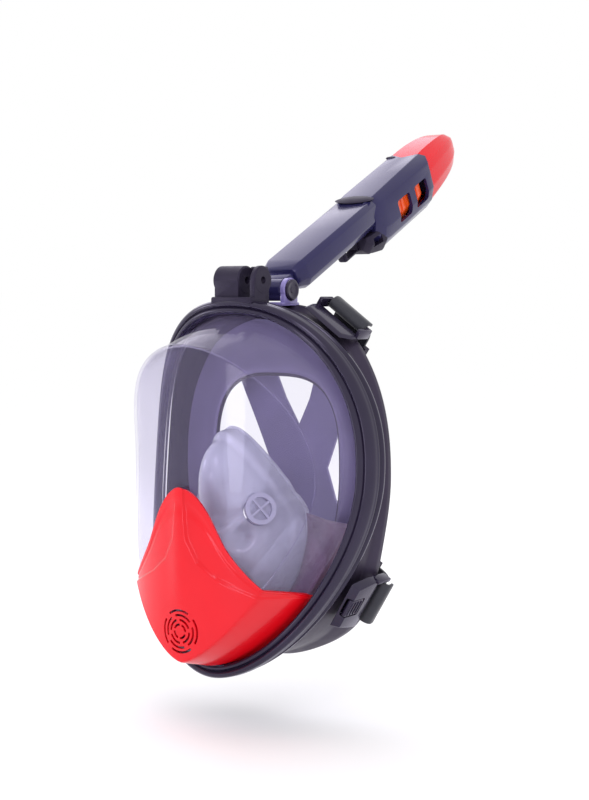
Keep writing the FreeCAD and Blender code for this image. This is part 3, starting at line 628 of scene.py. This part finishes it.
def lens_stations(turn):
    """Where the lens's wall leaves the frame and where it meets the front panel."""
    def before_frame(share):
        point = lens_wall(turn, share)
        return point.y > bow(point.x, point.z) + WALL_START

    def before_panel(share):
        point = lens_wall(turn, share)
        return point.y > lens_panel(point.x)

    return crossing(before_frame), crossing(before_panel)


def lens_point(turn, share, stations):
    """The lens from the frame (0) over its rounded corner to the panel's middle (1)."""
    start, end = stations
    corner = lens_wall(turn, end)
    last = end - CORNER_WALL

    def panel(scale):
        x, z = corner.x * scale, corner.z * scale
        return Vector((x, lens_panel(x), z))

    if share <= WALL_ROWS:
        return lens_wall(turn, start + (last - start) * share / WALL_ROWS)
    if share <= CORNER_ROWS:
        t = (share - WALL_ROWS) / (CORNER_ROWS - WALL_ROWS)
        a, b = lens_wall(turn, last), panel(CORNER_PANEL)
        bead = 1 + CORNER_BEAD * bump(t - 0.5, 0.2)
        return (a * (1 - t) ** 2 + corner * 2 * t * (1 - t) + b * t * t) * bead
    return panel(CORNER_PANEL * (1 - (share - CORNER_ROWS) / (1 - CORNER_ROWS)))


class MASK_OT_lens(bpy.types.Operator):
    """Make the clear bowed lens with its side walls"""
    bl_idname = "snorkel_mask.lens"
    bl_label = "Lens"
    bl_options = {"REGISTER", "UNDO"}

    def execute(self, context):
        look = context.scene.snorkel_mask
        known = {}

        def place(u, v):
            turn = round(u, 6) % 1
            if turn not in known:
                known[turn] = lens_stations(turn)
            return lens_point(turn, v, known[turn])

        lens = to_object("lens_shell", surface(224, 60, place))
        shell(lens, look.lens_thickness / MM)
        apply_modifiers(lens)
        carve(lens, through_port(turned([(0, -30), (15, -30), (15, 30), (0, 30)]), -112))
        place_piece(lens, MATERIALS["clear_lens"], nodes=["lens"], angle=50)
        return {"FINISHED"}


# the skirt's section: inset, share of the way to the face opening, Y, and share of the bow
SKIRT_SECTION = (
    (3.0, 0, 0, 1), (5.6, 0, 0.6, 1), (6.0, 0, -14, 0), (4.2, 0, -10.5, 0), (2.5, 0, -7, 0),
    (2.6, 0, -3, 0), (4.6, 0, -0.4, 0), (8, 0.15, 0, 0), (6, 0.6, -1.6, 0), (3, 0.97, -6, 0),
    (3, 1.0, -8.2, 0), (3, 0.9, -7.6, 0), (6, 0.55, -4.4, 0), (9.5, 0.1, -4, 0),
    (8.8, 0, -13, 0), (8.8, 0, 0.6, 1), (7, 0, -0.4, 1))
LUG_TURNS = (0.148, 0.352, 0.914, 0.586)
JAW_TURNS = (0.855, 0.645)


def skirt_point(turn, share):
    """The skirt's section swept round the mask, swelling at the lugs and the jaw corners."""
    x_face, z_face = outline(turn, *FACE)
    spans = len(SKIRT_SECTION)
    place = share * spans
    first = min(int(place), spans - 1)
    t = place - first
    here, following = SKIRT_SECTION[first], SKIRT_SECTION[(first + 1) % spans]
    inset, mix, y, bowed = (a + (b - a) * t for a, b in zip(here, following))
    near_lug = sum(bump((turn - lug + 0.5) % 1 - 0.5, 0.028) for lug in LUG_TURNS)
    rear = smooth(-26, -6, y) * (1 - bowed) * (1 - mix)
    jaw = sum(bump((turn - corner + 0.5) % 1 - 0.5, 0.05) for corner in JAW_TURNS)
    x, z = inset_outline(turn, inset - (1.2 * near_lug + 5 * jaw) * rear)
    y += 12 * jaw * smooth(-16, -2, y) * (1 - bowed)
    x, z = x + (x_face - x) * mix, z + (z_face - z) * mix
    front = bow(x, z) + 13.6
    y = y + front if bowed == 1 else y * (1 - bowed) + front * bowed
    return Vector((x, y, z))


def lining_point(turn, share):
    """The paler inner face of the flap, from the face opening out to the skirt's wall."""
    x_face, z_face = outline(turn, *FACE)
    x_wall, z_wall = inset_outline(turn, 9.4)
    mix = 0.06 + 0.94 * share
    y = -9.0 + 3.6 * smooth(0, 0.45, share) - 1.2 * smooth(0.8, 1, share)
    return Vector((x_face + (x_wall - x_face) * mix, y, z_face + (z_wall - z_face) * mix))


class MASK_OT_skirt(bpy.types.Operator):
    """Make the silicone face skirt with its curled inner lip"""
    bl_idname = "snorkel_mask.skirt"
    bl_label = "Skirt"
    bl_options = {"REGISTER", "UNDO"}

    def execute(self, context):
        skirt = to_object("skirt", surface(224, len(SKIRT_SECTION) * 3, skirt_point))
        rounding = skirt.modifiers.new("rounding", "SUBSURF")
        rounding.levels = rounding.render_levels = 1
        place_piece(skirt, MATERIALS["silicone_black"],
                    nodes=["face_skirt"], angle=80)
        lining = to_object("flap_lining", surface(224, 12, lining_point))
        shell(lining, 0.5)
        place_piece(lining, MATERIALS["flap"], angle=80)
        return {"FINISHED"}


POCKET_NARROW = 0.82
# the height above which the pocket leans to the front, and by how much
POCKET_LEAN_FROM, POCKET_LEAN = -25, 0.62


def pocket_point(turn, share):
    """The nose and mouth pocket: a dome whose upper part leans to the front, with creases."""
    around = 2 * math.pi * turn
    reach = share * math.pi / 2
    side = Vector((math.cos(around) * math.sin(reach), 0, math.sin(around) * math.sin(reach)))
    x, z, forward = side.x, side.z, math.cos(reach)
    # narrower towards the chin and, less so, towards the bridge of the nose
    x *= POCKET_NARROW * (1 - 0.42 * smooth(0.05, -0.95, z) - 0.16 * smooth(0.2, 1, z))
    bridge = bump(x, 0.34) * smooth(0.1, 0.9, z)
    nostril = bump(abs(x) - 0.42, 0.13) * bump(z - 0.10, 0.12)
    cheek = bump(abs(x) - 0.58, 0.16) * bump(z + 0.22, 0.24)
    crease = bump(z - 0.12 - 0.5 * abs(x), 0.05) * smooth(0.02, 0.12, abs(x))
    flange = smooth(0.80, 0.88, share) * smooth(-0.2, 0.1, z)
    grow = 1 + 0.07 * bridge - 0.14 * nostril + 0.07 * cheek - 0.05 * crease + 0.05 * flange
    point = Vector((POCKET_RADII.x * x, -POCKET_RADII.y * forward, POCKET_RADII.z * z)) * grow
    point += POCKET_CENTRE
    point.y -= max(0, point.z - POCKET_LEAN_FROM) * POCKET_LEAN
    return point


def web_point(across, share):
    """The thin web from the pocket's edge out to the skirt, drawn from the chin upwards."""
    inner = pocket_point((0.75 + 0.29 * across) % 1, 1.0)
    x, z = inset_outline((0.75 + 0.205 * across) % 1, 9.0)
    outer = Vector((x, -20, z))
    point = inner.lerp(outer, share)
    point.y -= 7 * bump(share - 0.5, 0.4)
    return point


def inhale_hole(side):
    """A plug where an inhale valve passes through the pocket's wall."""
    point = Vector((side * INHALE.x, INHALE.y, INHALE.z))
    away = point - POCKET_CENTRE
    normal = Vector([part / radius ** 2 for part, radius in zip(away, POCKET_RADII)])
    turn = normal.to_track_quat("Z", "Y").to_matrix().to_4x4()
    plug = turned([(0, -9), (10.9, -9), (10.9, 9), (0, 9)])
    return move(plug, Matrix.Translation(point) @ turn)


class MASK_OT_pocket(bpy.types.Operator):
    """Make the translucent nose and mouth pocket with its rolled edge"""
    bl_idname = "snorkel_mask.pocket"
    bl_label = "Nose pocket"
    bl_options = {"REGISTER", "UNDO"}

    def execute(self, context):
        pocket = to_object("nose_pocket", surface(120, 60, pocket_point))
        shell(pocket, 1.8)
        apply_modifiers(pocket)
        carve(pocket, *[inhale_hole(side) for side in (-1, 1)])
        place_piece(pocket, MATERIALS["silicone_clear"],
                    nodes=["orinasal_pocket"], angle=80)

        def edge(u, v):
            centre = pocket_point(u % 1, 1.0)
            out = (centre - POCKET_CENTRE).normalized()
            angle = 2 * math.pi * v
            return centre + out * 1.7 * math.cos(angle) + Vector((0, 1.7 * math.sin(angle), 0))

        bead = to_object("pocket_edge", surface(120, 12, edge))
        place_piece(bead, MATERIALS["silicone_clear"], angle=80)
        for name, side in (("left", 1), ("right", -1)):
            self.make_web(name, side)
        return {"FINISHED"}

    def make_web(self, name, side):
        """The clear web on one side, and a dark sheet in front of its lower, inner part that paints
        shade there.
        """
        def web_place(u, v):
            return web_point(side * u, v)

        # a dark silicone sheet in front of the web's lower, inner part: painted shade
        def shade_sheet_place(u, v):
            return web_point(side * (0.12 + 0.4 * u), 0.55 * v) + Vector((0, -3, 0))

        web = to_object(f"cheek_web_{name}", surface(60, 24, web_place))
        shell(web, 1.0)
        place_piece(web, MATERIALS["web"], angle=80)
        shade_sheet = to_object(f"web_fold_{name}", surface(30, 16, shade_sheet_place))
        shell(shade_sheet, 0.8)
        place_piece(shade_sheet, MATERIALS["silicone_black"], angle=80)


# half of the chin cover's upper edge, from the nose peak to the corner at the frame
COVER_EDGE = ((0, -2, 0), (6, -4, 0), (13, -9, 0), (21, -19, 0), (28, -32, 0), (34, -43, 0),
              (44, -56, 0), (55, -68, 0), (66, -79, 0))


# how gently the cover turns from the lens's front panel to its wall
COVER_BLEND = 5.0


def cover_height(x, z, grow):
    """The Y of the lens's outer surface, front panel and lower wall, at a front-view place."""
    def outside(share):
        sizes = [b + (f - b) * share + grow for b, f in zip(LENS_BACK, LENS_FRONT)]
        power = BOTTOM_POWER + LENS_CHIN_SHARPENS * share
        return (abs(x) / sizes[0]) ** power + (abs(z) / sizes[2]) ** power < 1

    wall = LENS_BACK[3] + (LENS_FRONT[3] - LENS_BACK[3]) * crossing(outside)
    panel = lens_panel(x, grow)
    mix = smooth(-COVER_BLEND, COVER_BLEND, wall - panel)
    return panel + (wall - panel) * mix + COVER_BLEND * 0.6 * mix * (1 - mix)


# the edge of the cover's raised middle, from beside its nose ridge to the frame
STEP_EDGE = ((4, -14), (6, -36), (14, -51), (27, -61), (42, -68), (80, -85))


def step_height(x, z):
    """0 on the cover's upper band, 1 on its raised middle."""
    nearest, below = 1e9, abs(x) < STEP_EDGE[0][0]
    for (x0, z0), (x1, z1) in zip(STEP_EDGE, STEP_EDGE[1:]):
        run = Vector((x1 - x0, z1 - z0))
        t = min(max((Vector((abs(x) - x0, z - z0))).dot(run) / run.length_squared, 0), 1)
        nearest = min(nearest, (Vector((abs(x) - x0, z - z0)) - run * t).length)
        if x0 <= abs(x) < x1:
            below = z < z0 + (z1 - z0) * (abs(x) - x0) / (x1 - x0)
    return smooth(-0.9, 0.9, nearest if below else -nearest)


# the turns of the outline where the cover meets the frame: below the chin, and at its corner
CHIN_TURN, COVER_TURN = 0.75, 0.876


def cover_point(across, down):
    """The cover from its upper edge down to the frame, with its ridge, groove and raised middle."""
    side = across * 2 - 1
    top = spline(COVER_EDGE, abs(side))
    turn = CHIN_TURN + (COVER_TURN - CHIN_TURN) * abs(side)
    x_low, z_low = inset_outline(turn, 9.6)
    t = 1 - (1 - down) ** 1.7
    x = (top.x + (x_low - top.x) * t) * math.copysign(1, side)
    z = top.y + (z_low - top.y) * t
    ridge = bump(x, 8.0) * smooth(-104, -50, z)
    groove = smooth(0.035, 0.05, down) * smooth(0.085, 0.07, down)
    grow = 1.6 + 1.5 * step_height(x, z) + 1.6 * ridge - 0.4 * groove
    return Vector((x, cover_height(x, z, grow), z))


def grille_cutters():
    """Rings of arc slots, each drawn flat and pushed through the cover."""
    cutters = []
    half, reach, quarter = 0.75, 30, math.pi / 2
    for ring, radius in enumerate((4.6, 7.8, 11.0, 14.2)):
        for part in range(4):
            start = part * quarter + ring * 0.35
            slot = bmesh.new()
            corners = [(radius - half, -reach), (radius + half, -reach), (radius + half, reach),
                       (radius - half, reach)]
            face = slot.faces.new([slot.verts.new((x, 0, z)) for x, z in corners])
            bmesh.ops.rotate(slot, cent=(0, 0, 0), matrix=Matrix.Rotation(start, 3, "Z"),
                             verts=slot.verts)
            bmesh.ops.spin(slot, geom=[face, *face.edges, *face.verts], cent=(0, 0, 0),
                           axis=(0, 0, 1), angle=quarter * 0.78, steps=8)
            cutters.append(slot)
    return through_port(join(*cutters), -114)


class MASK_OT_chin_cover(bpy.types.Operator):
    """Make the ridged chin cover with its round grille"""
    bl_idname = "snorkel_mask.chin_cover"
    bl_label = "Chin cover"
    bl_options = {"REGISTER", "UNDO"}

    def execute(self, context):
        look = context.scene.snorkel_mask
        cover = to_object("chin_cover_shell", surface(200, 120, cover_point))
        shell(cover, look.cover_thickness / MM)
        apply_modifiers(cover)
        carve(cover, grille_cutters())
        place_piece(cover, MATERIALS["red_gloss"], nodes=["chin_cover"], angle=45)
        return {"FINISHED"}


# ---------------------------------------------------------------- snorkel, in its own axes

def tube_outline(half, front, rear, bevel_front=3.5, bevel_rear=8.0):
    """The tube's section: flat front with crisp bevels, and a broadly rounded rear."""
    return [(-half + bevel_front, -front), (half - bevel_front, -front),
            (half, -front + bevel_front), (half, rear - bevel_rear),
            (half - bevel_rear * 0.4, rear - bevel_rear * 0.35),
            (half - bevel_rear, rear), (-half + bevel_rear, rear),
            (-half + bevel_rear * 0.4, rear - bevel_rear * 0.35),
            (-half, rear - bevel_rear), (-half, -front + bevel_front)]


def snorkel_piece(name, mesh, slot, nodes=(), body="snorkel", cutters=(), angle=35):
    """A finished piece drawn in the snorkel's own axes, Z along the tube from the hinge."""
    piece = to_object(name, move(mesh, SNORKEL))
    if cutters:
        carve(piece, *[move(cutter, SNORKEL) for cutter in cutters])
    place_piece(piece, MATERIALS[slot], body, nodes, angle)


class MASK_OT_tube(bpy.types.Operator):
    """Make the snorkel tube with its barrel at the hinge"""
    bl_idname = "snorkel_mask.tube"
    bl_label = "Snorkel tube"
    bl_options = {"REGISTER", "UNDO"}

    def execute(self, context):
        tube = stack([(13, tube_outline(14.5, 9.5, 6.2, 2.5, 5)),
                      (20, tube_outline(17.5, 11.5, 9.5)),
                      (24, tube_outline(18.5, 12, 11)),
                      (124, tube_outline(18.5, 12, 11))], rows_between=2)
        soften(tube, 0.7, angle=20)
        neck = soften(block((-12.4, -7, 4), (12.4, 5.8, 16)), 1.2)
        barrel = turned([(0, -12.8), (7.2, -12.8), (8, -12), (8, 12), (7.2, 12.8), (0, 12.8)])
        move(barrel, Matrix.Rotation(math.radians(90), 4, "Y"))
        snorkel_piece("tube", join(tube, neck, barrel), "navy_gloss", ["snorkel_tube"])
        return {"FINISHED"}


HEAD_LENGTH = (124, 204)
WINDOW_LOW, WINDOW_LONG, WINDOW_PITCH = 149, 19, 27


def head_outline(half, front, rear, bevel=6):
    """The head's section: bevelled at the front and rounded towards the rear."""
    return [(-half + 6, -front), (half - bevel, -front), (half - 1.2, -front + 6),
            (half, -front + 12), (half, rear - 17), (half - 3.6, rear - 7),
            (half - 11, rear), (-half + 11, rear), (-half + 3.6, rear - 7),
            (-half, rear - 17), (-half, -front + 12), (-half + 1.2, -front + 6)]


class MASK_OT_head(bpy.types.Operator):
    """Make the float chamber with its windows, vents and the top cap"""
    bl_idname = "snorkel_mask.head"
    bl_label = "Float chamber"
    bl_options = {"REGISTER", "UNDO"}

    def execute(self, context):
        start, end = HEAD_LENGTH
        body = stack([(start - 6, head_outline(18.8, 12.2, 20)),
                      (start + 3, head_outline(20.4, 13.4, 29)),
                      (start + 10, head_outline(21, 13.5, 30, 7)),
                      (end + 8, head_outline(21, 13.5, 30, 11))], 2, 2)
        for vert in body.verts:
            if vert.co.z > end + 7:
                ridge = bump(abs(vert.co.x) - 13, 6) * bump(vert.co.y + 11, 6)
                vert.co.z = end + 9 * ridge - 2 * smooth(10, 28, vert.co.y)
        soften(body, 0.8, angle=14)
        room = stack([(start - 2, head_outline(17.4, 10.2, 18)),
                      (start + 5, head_outline(18.6, 11.2, 27)),
                      (end + 20, head_outline(18.8, 11.4, 27.8))])
        cutters = [room]
        for index in (0, 1):
            low = WINDOW_LOW + WINDOW_PITCH * index
            cutters.append(soften(block((-40, 1, low), (40, 19, low + WINDOW_LONG)), 2.2, 3))
            cutters.append(soften(block((-8, 22, low), (8, 40, low + 7)), 1.0))
        cutters.append(soften(block((-12, -22, start - 8), (12, -11.2, start + 4)), 3, 4))
        snorkel_piece("float_chamber", body, "navy_gloss", ["float_housing"],
                      cutters=cutters, angle=25)
        # two black matte discs on the head's front: painted shade of its recesses
        self.make_recess_shade("head_recess_shade", 0, start, 17.5)
        self.make_recess_shade("cap_recess_shade", -13, end + 1, 5)
        self.make_cap(end)
        return {"FINISHED"}

    def make_recess_shade(self, name, x, height, half):
        """A dark oval disc on the front of the head, painting the shade of a recess there."""
        shade_disc = turned([(0, -1.2), (half * 0.8, -0.9), (half, 0), (half * 0.8, 0.9), (0, 1.2)])
        flatten = Matrix.Diagonal((1, 1, 0.36, 1))
        move(shade_disc, flatten @ Matrix.Rotation(math.radians(90), 4, "X"))
        move(shade_disc, Matrix.Translation((x, -12.9, height)))
        snorkel_piece(name, shade_disc, "black_matte")

    def make_cap(self, end):
        """The blunt cap, narrowing from the head's section to a rounded tip."""
        length, low, middle = 63.0, -3.0, 8.2

        def place(u, v):
            rise = max((v - 0.2) / 0.8, 0)
            angle = rise * math.pi / 2
            narrow = math.cos(angle) ** 0.62
            z = end + (low * (1 - v / 0.2) if v < 0.2 else length * math.sin(angle) ** 1.15)
            x, y = along_polygon(head_outline(20.3, 12.8, 29.2, 11), u)
            lean = -7.0 * rise
            return Vector((x * narrow, middle + (y - middle) * narrow + lean, z))

        cap = surface(96, 48, place)
        bmesh.ops.remove_doubles(cap, verts=cap.verts, dist=0.05)
        snorkel_piece("cap", cap, "red_gloss", ["top_cap"], angle=30)


class MASK_OT_cage(bpy.types.Operator):
    """Make the slotted cage under the float chamber and its clip loop"""
    bl_idname = "snorkel_mask.cage"
    bl_label = "Cage and clip"
    bl_options = {"REGISTER", "UNDO"}

    def execute(self, context):
        def section(half, rear):
            return [(-half, 11.4), (half, 11.4), (half, rear - 8), (half - 6, rear),
                    (-half + 6, rear), (-half, rear - 8)]

        cage = stack([(107, section(13, 22)), (111, section(15.5, 27)),
                      (126, section(17.5, 31)), (129, section(17.5, 30.5))])
        soften(cage, 0.9)
        cutters = []
        for side in (-1, 1):
            cutters.append(block((side * 14.5 - 4, 15, 113), (side * 14.5 + 4, 22, 123)))
        for x in (-8, 0, 8):
            cutters.append(block((x - 2, 24, 112), (x + 2, 36, 124)))
        snorkel_piece("cage", cage, "black_matte", ["lower_cage"], cutters=cutters)
        loop = soften(block((-4, 11.2, 88), (4, 23, 109)), 2.0, 3)
        gap = soften(block((-9, 13.4, 90.5), (9, 20.8, 106)), 1.5, 3)
        snorkel_piece("clip", loop, "black_matte", ["cage_clip"], cutters=[gap])
        return {"FINISHED"}


class MASK_OT_float(bpy.types.Operator):
    """Make the ribbed float"""
    bl_idname = "snorkel_mask.float"
    bl_label = "Float"
    bl_options = {"REGISTER", "UNDO"}

    def execute(self, context):
        def section(half):
            return [(-half + 4, -6), (half - 4, -6), (half, -2), (half, 12), (half - 9, 25),
                    (-half + 9, 25), (-half, 12), (-half, -2)]

        start, ribs, pitch, rib_half, groove_half = 143, 6, 8, 17.4, 16.2
        steps = []
        for index in range(ribs):
            low = start + index * pitch
            steps += [(low, section(rib_half)), (low + 6.2, section(rib_half)),
                      (low + 6.4, section(groove_half)), (low + 7.8, section(groove_half))]
        body = stack(steps)
        soften(body, 0.5, angle=35)
        snorkel_piece("float_block", body, "orange_float", ["float"], "float")
        return {"FINISHED"}


class MASK_OT_socket(bpy.types.Operator):
    """Make the hinge socket, its cheeks and the ringed end caps"""
    bl_idname = "snorkel_mask.socket"
    bl_label = "Hinge socket"
    bl_options = {"REGISTER", "UNDO"}

    def execute(self, context):
        parts = [soften(block((-17.2, -25, 117.6), (17.2, -4, 120.2)), 0.8)]
        parts.append(move(turned([(5.5, -9), (7.4, -9), (7.4, 0.3), (5.5, 0.3)]),
                          Matrix.Translation((0, HINGE.y, 118))))
        for side in (-1, 1):
            disc = turned([(2.05, 13.2), (8.0, 13.2), (8.5, 13.7), (8.5, 16.6), (7.9, 17.2),
                           (2.05, 17.2)])
            turn = Matrix.Rotation(math.radians(90 * side), 4, "Y")
            parts.append(move(disc, Matrix.Translation(HINGE) @ turn))
            low = 13.2 if side > 0 else -17.2
            parts.append(soften(block((low, -22, 118.4), (low + 4, -6, 126)), 0.8))
        place_piece(to_object("hinge_socket", join(*parts)), MATERIALS["lilac_gloss"],
                    nodes=["snorkel_socket"])
        for side, name in ((1, "left"), (-1, "right")):
            cap = turned([(0, 17.3), (2.4, 17.3), (3.0, 18.2), (5.6, 18.2), (7.4, 17.3),
                          (7.4, 18.5), (6.8, 18.9), (5.2, 18.9), (4.6, 18.5), (2.6, 18.5),
                          (2.2, 18.8), (0, 18.8)])
            turn = Matrix.Rotation(math.radians(90 * side), 4, "Y")
            move(cap, Matrix.Translation(HINGE) @ turn)
            place_piece(to_object(f"hinge_ring_{name}", cap), MATERIALS["black_gloss"],
                        nodes=[f"hinge_cap_{name}"])
        return {"FINISHED"}


class MASK_OT_bracket(bpy.types.Operator):
    """Make the camera bracket on the crown"""
    bl_idname = "snorkel_mask.bracket"
    bl_label = "Camera bracket"
    bl_options = {"REGISTER", "UNDO"}

    def execute(self, context):
        centre = Vector((0, -48, 135.5))
        across = Matrix.Rotation(math.radians(90), 4, "Y")

        def ear(low, high):
            disc = turned([(0, low), (9, low), (10, low + 1), (10, high - 1), (9, high),
                           (0, high)])
            return move(disc, Matrix.Translation(centre) @ across)

        boss, plate = ear(-18.5, 4.5), ear(14, 18.5)
        feet = [soften(block((-17, -58, 118.5), (4.3, -41, 136)), 1.0),
                soften(block((14.1, -58, 118.5), (18.4, -41, 136)), 0.8),
                soften(block((-17, -62, 119), (18.4, -44, 124)), 1.2),
                soften(block((2.5, -42.6, 139), (16, -38.6, 145)), 1.2)]
        whole = join(boss, plate, *feet)
        bore = move(turned([(0, -40), (2.6, -40), (2.6, 40), (0, 40)]),
                    Matrix.Translation(centre) @ across)
        hexagon = move(turned([(0, -24), (4.75, -24), (4.75, -14.2), (0, -14.2)], steps=6),
                       Matrix.Translation(centre) @ across)
        bracket = to_object("camera_mount", whole)
        carve(bracket, bore, hexagon, merged=True)
        place_piece(bracket, MATERIALS["black_matte"],
                    nodes=["camera_bracket"])
        return {"FINISHED"}


def lug_places():
    """Each lug's name, its place, and whether it is a lower one.

    In a lug's own axes X runs along the mask's outline, Y to the rear and Z outwards.
    """
    for level, x, z, turn in (("upper", 53.5, 106.2, 35), ("lower", 74, -85.2, 121)):
        for side, name in ((1, "left"), (-1, "right")):
            place = (Matrix.Translation((side * x, 0, z))
                     @ Matrix.Rotation(math.radians(side * turn), 4, "Y"))
            yield f"{level}_{name}", place, level == "lower"


STRAP_HALF = 17.0


class MASK_OT_straps(bpy.types.Operator):
    """Make the four strap lugs, looped straps and the release buttons"""
    bl_idname = "snorkel_mask.straps"
    bl_label = "Straps and lugs"
    bl_options = {"REGISTER", "UNDO"}

    def execute(self, context):
        look = context.scene.snorkel_mask
        for name, place, lower in lug_places():
            self.make_lug(name, place, lower)
            self.make_strap(name, place, look.strap_thickness / MM)
        return {"FINISHED"}

    def make_lug(self, name, place, lower):
        """An upper lug has two posts and a bar; a lower one has one post and a ribbed button."""
        front = -38 if lower else -32
        top = 6.5 if lower else 2.8
        half = STRAP_HALF + 4
        plate = stack([(0.4, [(-half + 3, front + 3), (half - 3, front + 3), (half, -18),
                              (half, -9), (-half, -9), (-half, -18)]),
                       (top, [(-half + 5, front + 6), (half - 5, front + 6), (half - 2, -18),
                              (half - 1, -9.5), (-half + 1, -9.5), (-half + 2, -18)])])
        lug = to_object(f"lug_{name}", move(soften(plate, 0.9, 3), place))
        if lower:
            side = name.split("_")[1]
            room = move(soften(block((-7.4, -34.4, 1.2), (7.4, -17.6, 20)), 1.5), place)
            carve(lug, room)
            ribs = [soften(block((-7, -34, 3), (7, -18, 6.6)), 1.6, 3)]
            for row in range(4):
                low = -32 + row * 3.4
                ribs.append(soften(block((-5.5, low, 6), (5.5, low + 1.4, 7.4)), 0.5))
            button = to_object(f"button_{side}", move(join(*ribs), place))
            place_piece(button, MATERIALS["black_gloss"],
                        f"release_button_{side}", [f"release_button_lower_{side}"])
        posts = [-half] if lower else [-half, half - 3]
        parts = [soften(block((low, -12, 0.4), (low + 3, 3, 7.7)), 0.8) for low in posts]
        if not lower:
            parts.append(soften(block((-half, -1, 4.2), (half, 3, 7.7)), 1.2, 3))
        add_to(lug, move(join(*parts), place))
        place_piece(lug, MATERIALS["black_gloss"], nodes=[f"strap_lug_{name}"])

    def make_strap(self, name, place, deep):
        """A band that runs round the lug's bar and turns in behind the mask."""
        half = STRAP_HALF
        line = [(6, 9), (1, 9.6), (-2.4, 6), (-1.2, 2.9), (3, 3), (8, 2.6), (11.0, -1.6),
                (11.7, -8), (11.7, -22)]

        def point(u, v):
            centre = spline([(a, b, 0) for a, b in line], v)
            ahead = spline([(a, b, 0) for a, b in line], min(v + 0.01, 1))
            behind = spline([(a, b, 0) for a, b in line], max(v - 0.01, 0))
            run = (ahead - behind).normalized()
            x, depth = along_polygon([(-half, -deep / 2), (half, -deep / 2), (half, deep / 2),
                                      (-half, deep / 2)], u)
            return Vector((x, centre.x - run.y * depth, centre.y + run.x * depth))

        band = surface(4, 44, point)
        bmesh.ops.holes_fill(band, edges=band.edges, sides=0)
        soften(band, 0.5, angle=50)
        strap = to_object(f"strap_band_{name}", move(band, place))
        place_piece(strap, MATERIALS["strap_black"], nodes=[f"strap_{name}"])


# the left half of the harness from the middle of its top notch round to its bottom notch
HARNESS_EDGE = ((0, 30), (11, 50), (20, 74), (26.4, 97.7), (54.9, 77.8), (47, 54), (36, 27),
                (25, 0), (33, -22), (45, -41), (64, -59), (46, -88.8), (30, -69),
                (14, -49), (0, -36))
HARNESS_Y, HARNESS_RADIUS = 20.0, 560.0


class MASK_OT_harness(bpy.types.Operator):
    """Make the crossed head harness"""
    bl_idname = "snorkel_mask.harness"
    bl_label = "Harness"
    bl_options = {"REGISTER", "UNDO"}

    def execute(self, context):
        look = context.scene.snorkel_mask
        mesh = bmesh.new()
        left = list(HARNESS_EDGE)
        whole = left + [(-x, z) for x, z in reversed(left[1:-1])]
        mesh.faces.new([mesh.verts.new((x, 0, z)) for x, z in whole])
        for step in range(-11, 12):
            for normal in ((1, 0, 0), (0, 0, 1)):
                everything = [*mesh.verts, *mesh.edges, *mesh.faces]
                where = Vector(normal) * step * 9.0
                bmesh.ops.bisect_plane(mesh, geom=everything, plane_co=where,
                                       plane_no=normal, dist=0.01)
        centre = HARNESS_Y - HARNESS_RADIUS
        for vert in mesh.verts:
            flat = vert.co.x ** 2 + vert.co.z ** 2
            vert.co.y = centre + math.sqrt(HARNESS_RADIUS ** 2 - flat)
        harness = to_object("harness", mesh)
        sheet = harness.modifiers.new("sheet", "SOLIDIFY")
        sheet.thickness = look.strap_thickness
        sheet.offset = 0
        edge = harness.modifiers.new("edge", "BEVEL")
        edge.width = 0.6 * MM
        edge.segments = 2
        edge.limit_method = "ANGLE"
        edge.angle_limit = math.radians(60)
        place_piece(harness, MATERIALS["harness_grey"],
                    nodes=["head_harness"], angle=40)
        return {"FINISHED"}


class MASK_OT_inner_parts(bpy.types.Operator):
    """Give the valves, pin, nut and other small parts their finish"""
    bl_idname = "snorkel_mask.inner_parts"
    bl_label = "Inner parts"
    bl_options = {"REGISTER", "UNDO"}

    def execute(self, context):
        slots = {row["node"]: row["material_slot"] for row in frame["record"]["subparts"]}
        for name, node in frame["nodes"].items():
            if node.hide_render:
                continue
            node.data.materials.clear()
            node.data.materials.append(MATERIALS[slots[name]])
        return {"FINISHED"}


OPERATORS = (MASK_OT_stage, MASK_OT_frame, MASK_OT_lens, MASK_OT_skirt, MASK_OT_pocket,
             MASK_OT_chin_cover, MASK_OT_tube, MASK_OT_head, MASK_OT_cage, MASK_OT_float,
             MASK_OT_socket, MASK_OT_bracket, MASK_OT_straps, MASK_OT_harness,
             MASK_OT_inner_parts)


class MASK_PT_panel(bpy.types.Panel):
    """Lists the mask's operators and settings"""
    bl_label = "Snorkel Mask"
    bl_idname = "MASK_PT_panel"
    bl_space_type = "VIEW_3D"
    bl_region_type = "UI"
    bl_category = "Snorkel Mask"

    def draw(self, context):
        for name in MaskSettings.__annotations__:
            self.layout.prop(context.scene.snorkel_mask, name)
        for operator in OPERATORS:
            self.layout.operator(operator.bl_idname)


def register():
    for item in (MaskSettings, *OPERATORS, MASK_PT_panel):
        bpy.utils.register_class(item)
    bpy.types.Scene.snorkel_mask = PointerProperty(type=MaskSettings)


def unregister():
    del bpy.types.Scene.snorkel_mask
    for item in (MASK_PT_panel, *reversed(OPERATORS), MaskSettings):
        bpy.utils.unregister_class(item)


def main():
    register()
    for operator in OPERATORS:
        group, name = operator.bl_idname.split(".")
        if getattr(getattr(bpy.ops, group), name)() != {"FINISHED"}:
            raise RuntimeError(f"{operator.bl_label} did not finish")


if __name__ == "__main__":
    main()
